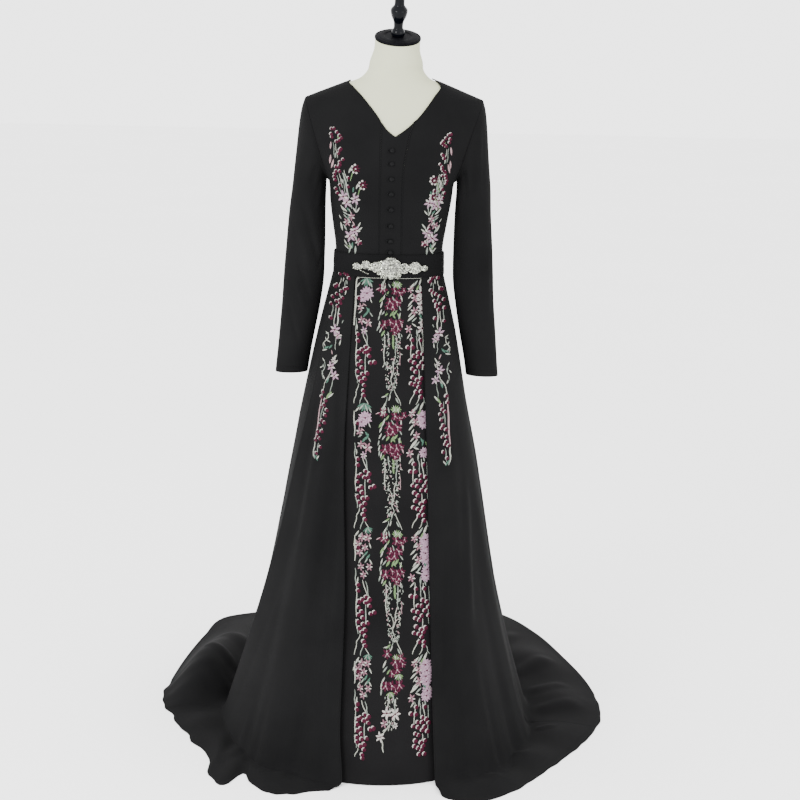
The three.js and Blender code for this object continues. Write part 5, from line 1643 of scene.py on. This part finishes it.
def button_loop():
    """Rings of the round cord that runs from the cloth round the button's left side."""
    bow = np.linspace(-2.5, 2.5, 22) + math.pi
    path = np.stack([3.2 * np.cos(bow) - 6, 3.1 * np.sin(bow), np.full(len(bow), 0.9)], -1)
    up = np.array([0.0, 0.0, 1.0])
    side = unit(np.cross(up, unit(np.gradient(path, axis=0))))
    x, y = 0.85 * np.cos(circle(8)), 0.85 * np.sin(circle(8))
    return path[:, None] + x[:, None] * side[:, None] + y[:, None] * up


def button_mesh(name, matrix, node):
    parts = Heap()
    for grid in (button_ball(), button_loop()):
        rows, columns = grid.shape[:2]
        faces = capped_faces(rows, columns) + [tuple(range(columns))[::-1]]
        parts.keep(grid.reshape(-1, 3), faces, matrix)
    stands_for(parts.mesh(name, CORD, 0), node)


def buttons():
    for i, (z, lift) in enumerate(zip(*BODICE_BUTTONS.values())):
        matrix = frame_on_torso(BUTTON_LINE_X, float(z), CLOTH_HALF + lift)
        button_mesh(f"button_{i + 1}", matrix, f"bodice_button_{i + 1}")
    for i, z in enumerate(PANEL_BUTTONS):
        point, normal = worn_panel(np.float64(0.005), np.float64(1 - z / SKIRT_TOP_Z))
        out = Vector(normal)
        place = Vector((BUTTON_LINE_X, point[1], point[2])) + out * (CLOTH_HALF + BUTTON_LIFT)
        number = i + 1 + len(BODICE_BUTTONS["z"])
        button_mesh(f"button_{number}", frame_at(place, out), f"panel_button_{i + 1}")


# Dress form
def form_ring(z, turn):
    gap = mix(FORM_GAP, FORM_SHOULDER_GAP, smooth((z - 1380) / 22))
    points = torso(turn, z) - torso_normal(turn, z) * (CLOTH_HALF + gap)
    if z > UNDERARM_Z - 30:
        limit = min(float(arm_reach(z)), SHOULDER_REACH) - 5
        middle = float(lean(z))
        points[..., 0] = np.clip(points[..., 0], middle - limit, middle + limit)
    return points


def neck_turn(share, size):
    sway, tilt = NECK_SWAY * share, NECK_TILT * share
    return Matrix.Rotation(sway, size, "Y") @ Matrix.Rotation(tilt, size, "X")


def neck_ring(share, turn):
    radius_x = mix(NECK_BASE["half"], NECK_TOP["radius"], smooth(min(share * 1.25, 1)))
    radius_y = mix(NECK_BASE["deep"], NECK_TOP["radius"], share)
    ring = np.stack([radius_x * np.sin(turn), -radius_y * np.cos(turn), 0 * turn], -1)
    low = np.array([float(lean(NECK_BASE["z"])), NECK_BASE["y"], NECK_BASE["z"]])
    high = np.array([NECK_TOP["x"], NECK_TOP["y"], NECK_TOP["z"]])
    return ring @ np.array(neck_turn(share, 3)).T + mix(low, high, share)


def dress_form():
    turn = circle(112)
    heights = [*np.linspace(FORM_BOTTOM_Z, 1370, 70), 1378, *range(1386, 1423, 6)]
    body = [form_ring(z, turn) for z in heights]
    keys = [form_ring(z, turn) for z in (1427, 1433, 1440, 1448)]
    keys += [neck_ring(share, turn) for share in (0, 0.3, 0.65, 1)]
    keys = np.stack(keys).reshape(len(keys), -1)
    neck = through(keys, np.linspace(0, 1, 40)).reshape(40, len(turn), 3)
    piece = lofted("form_body", np.concatenate([np.stack(body), neck]), COVER, sharp=50)
    stands_for(piece, "form_torso")


def neck_matrix(rise):
    matrix = neck_turn(1, 4)
    up = matrix.to_3x3() @ Vector((0, 0, 1))
    matrix.translation = Vector((NECK_TOP["x"], NECK_TOP["y"], NECK_TOP["z"])) + up * rise
    return matrix


CAP_PROFILE = table(
    "radius rise",
    (CAP_RADIUS - 2.4, 0),
    (CAP_RADIUS - 0.8, 0.5),
    (CAP_RADIUS, 1.7),
    (CAP_RADIUS - 0.5, 2.8),
    (CAP_RADIUS - 0.4, 3.4),
    (CAP_RADIUS, 4.4),
    (CAP_RADIUS - 0.7, 6),
    (CAP_RADIUS - 3.2, 7.2),
    (CAP_RADIUS - 5, 7.3),
    (CAP_RADIUS - 6, 6.9),
    (CAP_RADIUS - 7, 7.4),
    (CAP_RADIUS - 18, CAP_HIGH),
    (CAP_RADIUS - 20, CAP_HIGH - 0.5),
    (CAP_RADIUS - 21, CAP_HIGH - CAP_DISH),
    (8, CAP_HIGH - CAP_DISH),
)


def neck_fittings():
    rings = turned_rings(CAP_PROFILE["rise"], CAP_PROFILE["radius"], 96)
    cap = lofted("form_cap", moved_by(rings, neck_matrix(JOINT_GAP)), CAP, 28)
    stands_for(cap, "form_neck_cap")
    fine = np.linspace(0, FINIAL["rise"][-1], 90)
    rings = turned_rings(fine, read(FINIAL, "rise", fine, "radius"), 56)
    matrix = neck_matrix(JOINT_GAP + CAP_HIGH - CAP_DISH + JOINT_GAP)
    knob = lofted("form_knob", moved_by(rings, matrix), KNOB, 40)
    stands_for(knob, "form_finial")


STAND_PROFILE = table(
    "radius rise",
    (STAND_RADIUS - 1.5, 0),
    (STAND_RADIUS, 1.2),
    (STAND_RADIUS, 5),
    (STAND_RADIUS - 2, 7.2),
    (STAND_RADIUS - 12, 12),
    (90, 14.2),
    (POLE_RADIUS + 12, 17),
    (POLE_RADIUS + 9, 19),
    (POLE_RADIUS + 3, 24),
    (POLE_RADIUS, 32),
    (POLE_RADIUS, 430),
    (POLE_RADIUS, FORM_BOTTOM_Z - JOINT_GAP),
)


def form_stand():
    rings = turned_rings(STAND_PROFILE["rise"], STAND_PROFILE["radius"], 96)
    stands_for(lofted("form_base", rings, STEEL, 30), "form_stand")


# Cut of each cloth piece before it was sewn: width, length and area of what shows
Cloth = namedtuple("Cloth", "node piece width length area rests_on")
CLOTHS = [
    Cloth("bodice_front_left", "front_left_cloth", 0.24, 0.43, 0.072, "form_body"),
    Cloth("bodice_front_right", "front_right_cloth", 0.24, 0.43, 0.072, "form_body"),
    Cloth("bodice_back_left", "back_left_cloth", 0.24, 0.43, 0.078, "form_body"),
    Cloth("bodice_back_right", "back_right_cloth", 0.24, 0.43, 0.078, "form_body"),
    Cloth("bodice_placket", "placket_cloth", 0.068, 0.33, 0.0155, "form_body"),
    Cloth("sleeve_left", "sleeve_left_cloth", 0.4, 0.61, 0.15, "front_left_cloth"),
    Cloth("sleeve_right", "sleeve_right_cloth", 0.4, 0.61, 0.15, "front_right_cloth"),
    Cloth("belt", "belt_band", 0.72, 0.047, 0.033, "form_body"),
    Cloth("inner_front_panel", "inner_panel_cloth", 0.37, 1.08, 0.34, "belt_band"),
    Cloth("overskirt_front_left", "skirt_front_left", 0.42, 1.26, 0.26, "belt_band"),
    Cloth("overskirt_front_right", "skirt_front_right", 0.42, 1.26, 0.26, "belt_band"),
    Cloth("overskirt_back_left", "skirt_back_left", 1.3, 1.6, 0.78, "belt_band"),
    Cloth("overskirt_back_right", "skirt_back_right", 1.3, 1.6, 0.74, "belt_band"),
]
TUBES = ("sleeve_left", "sleeve_right", "belt")


def gown():
    back_turn = np.full(SKIRT_STEPS.shape, math.pi)
    grids = {
        "bodice_front_left": bodice_grid(-1, False),
        "bodice_front_right": bodice_grid(1, False),
        "bodice_back_left": bodice_grid(-1, True),
        "bodice_back_right": bodice_grid(1, True),
        "bodice_placket": placket_grid(),
        "sleeve_left": sleeve_grid(-1, LEFT_SLEEVE_CREASES),
        "sleeve_right": sleeve_grid(1, RIGHT_SLEEVE_CREASES),
        "belt": belt_grid(),
        "inner_front_panel": panel_grid(),
        "overskirt_front_left": skirt_grid(side_turn("left"), opening_turn("left"), 56),
        "overskirt_front_right": skirt_grid(opening_turn("right"), side_turn("right"), 56),
        "overskirt_back_left": skirt_grid(-back_turn, side_turn("left"), 110),
        "overskirt_back_right": skirt_grid(side_turn("right"), back_turn, 110),
    }
    looks = {"belt": (BELT, "belt_cloth"), "inner_front_panel": (INNER, "panel_cloth")}
    for cloth in CLOTHS:
        material, slot = looks.get(cloth.node, (GOWN, "gown_cloth"))
        half = BELT_HALF if cloth.node == "belt" else CLOTH_HALF
        piece = shell(cloth.piece, *grids[cloth.node], material, cloth.node in TUBES, half)
        stands_for(piece, cloth.node)
    return grids


def stitching(grids):
    lines = [grid_line(grids[cloth.node], column=1) for cloth in CLOTHS[:4]]
    for column in (1, -2):
        for node in ("bodice_placket", "overskirt_front_left", "overskirt_front_right"):
            lines.append(grid_line(grids[node], column=column))
    lines += [grid_line(grids["belt"], row=row, lift=BELT_HALF) for row in (2, -3)]
    lines += [grid_line(grids[node], row=-5) for node in ("sleeve_left", "sleeve_right")]
    stitch_rows("seam_stitches", lines)


# Stage, in metres
FLOOR_HALF = 40
WORLD_STRENGTH = 3.4
Lamp = namedtuple("Lamp", "name place aim size power")
LAMPS = [
    Lamp("key", (-2.4, -3.4, 1.9), (0, 0, 0.8), 1.6, 190),
    Lamp("fill", (3.0, -2.6, 1.3), (0, 0, 0.7), 2.2, 60),
]
CAMERA_PLACE = (0.03086, -3.5, 1.45)
CAMERA_PITCH = math.radians(11.428)
CAMERA_ROLL = math.radians(1.2)
CAMERA_LENS = 72.09


def floor():
    mesh = bpy.data.meshes.new("floor")
    corners = [(x * FLOOR_HALF, y * FLOOR_HALF, 0) for x, y in ((-1, -1), (1, -1), (1, 1), (-1, 1))]
    mesh.from_pydata(corners, [], [(0, 1, 2, 3)])
    material, shader = new_material("floor_paper", 0.9, Specular_IOR_Level=0.1)
    cloud = noise(material, place_of(material), 0.6, 2)
    blend_colours(material, shader, cloud, (0.93, 0.93, 0.93), (0.95, 0.95, 0.95))
    mesh.materials.append(material)
    piece = bpy.data.objects.new("floor", mesh)
    bpy.context.scene.collection.objects.link(piece)


def lights():
    world = bpy.data.worlds.new("studio")
    world.use_nodes = True
    background = world.node_tree.nodes["Background"]
    background.inputs["Color"].default_value = (1, 1, 1, 1)
    background.inputs["Strength"].default_value = WORLD_STRENGTH
    bpy.context.scene.world = world
    for lamp in LAMPS:
        data = bpy.data.lights.new(lamp.name, "AREA")
        data.energy = lamp.power
        data.size = lamp.size
        piece = bpy.data.objects.new(lamp.name, data)
        piece.location = lamp.place
        way = Vector(lamp.aim) - Vector(lamp.place)
        piece.rotation_euler = way.to_track_quat("-Z", "Y").to_euler()
        bpy.context.scene.collection.objects.link(piece)


def camera():
    data = bpy.data.cameras.new("camera")
    data.lens = CAMERA_LENS
    data.sensor_width = 36
    eye = bpy.data.objects.new("camera", data)
    eye.location = CAMERA_PLACE
    aim = Matrix.Rotation(QUARTER - CAMERA_PITCH, 4, "X") @ Matrix.Rotation(CAMERA_ROLL, 4, "Z")
    eye.rotation_euler = aim.to_euler()
    bpy.context.scene.collection.objects.link(eye)
    bpy.context.scene.camera = eye


camera()
lights()
floor()
dress_form()
neck_fittings()
form_stand()
stitching(gown())
panel_embroidery()
vine_embroidery(-1, "embroidery_vine_left")
vine_embroidery(1, "embroidery_vine_right")
spray_embroidery(-1, "embroidery_bodice_left")
spray_embroidery(1, "embroidery_bodice_right")
brooch()
buttons()
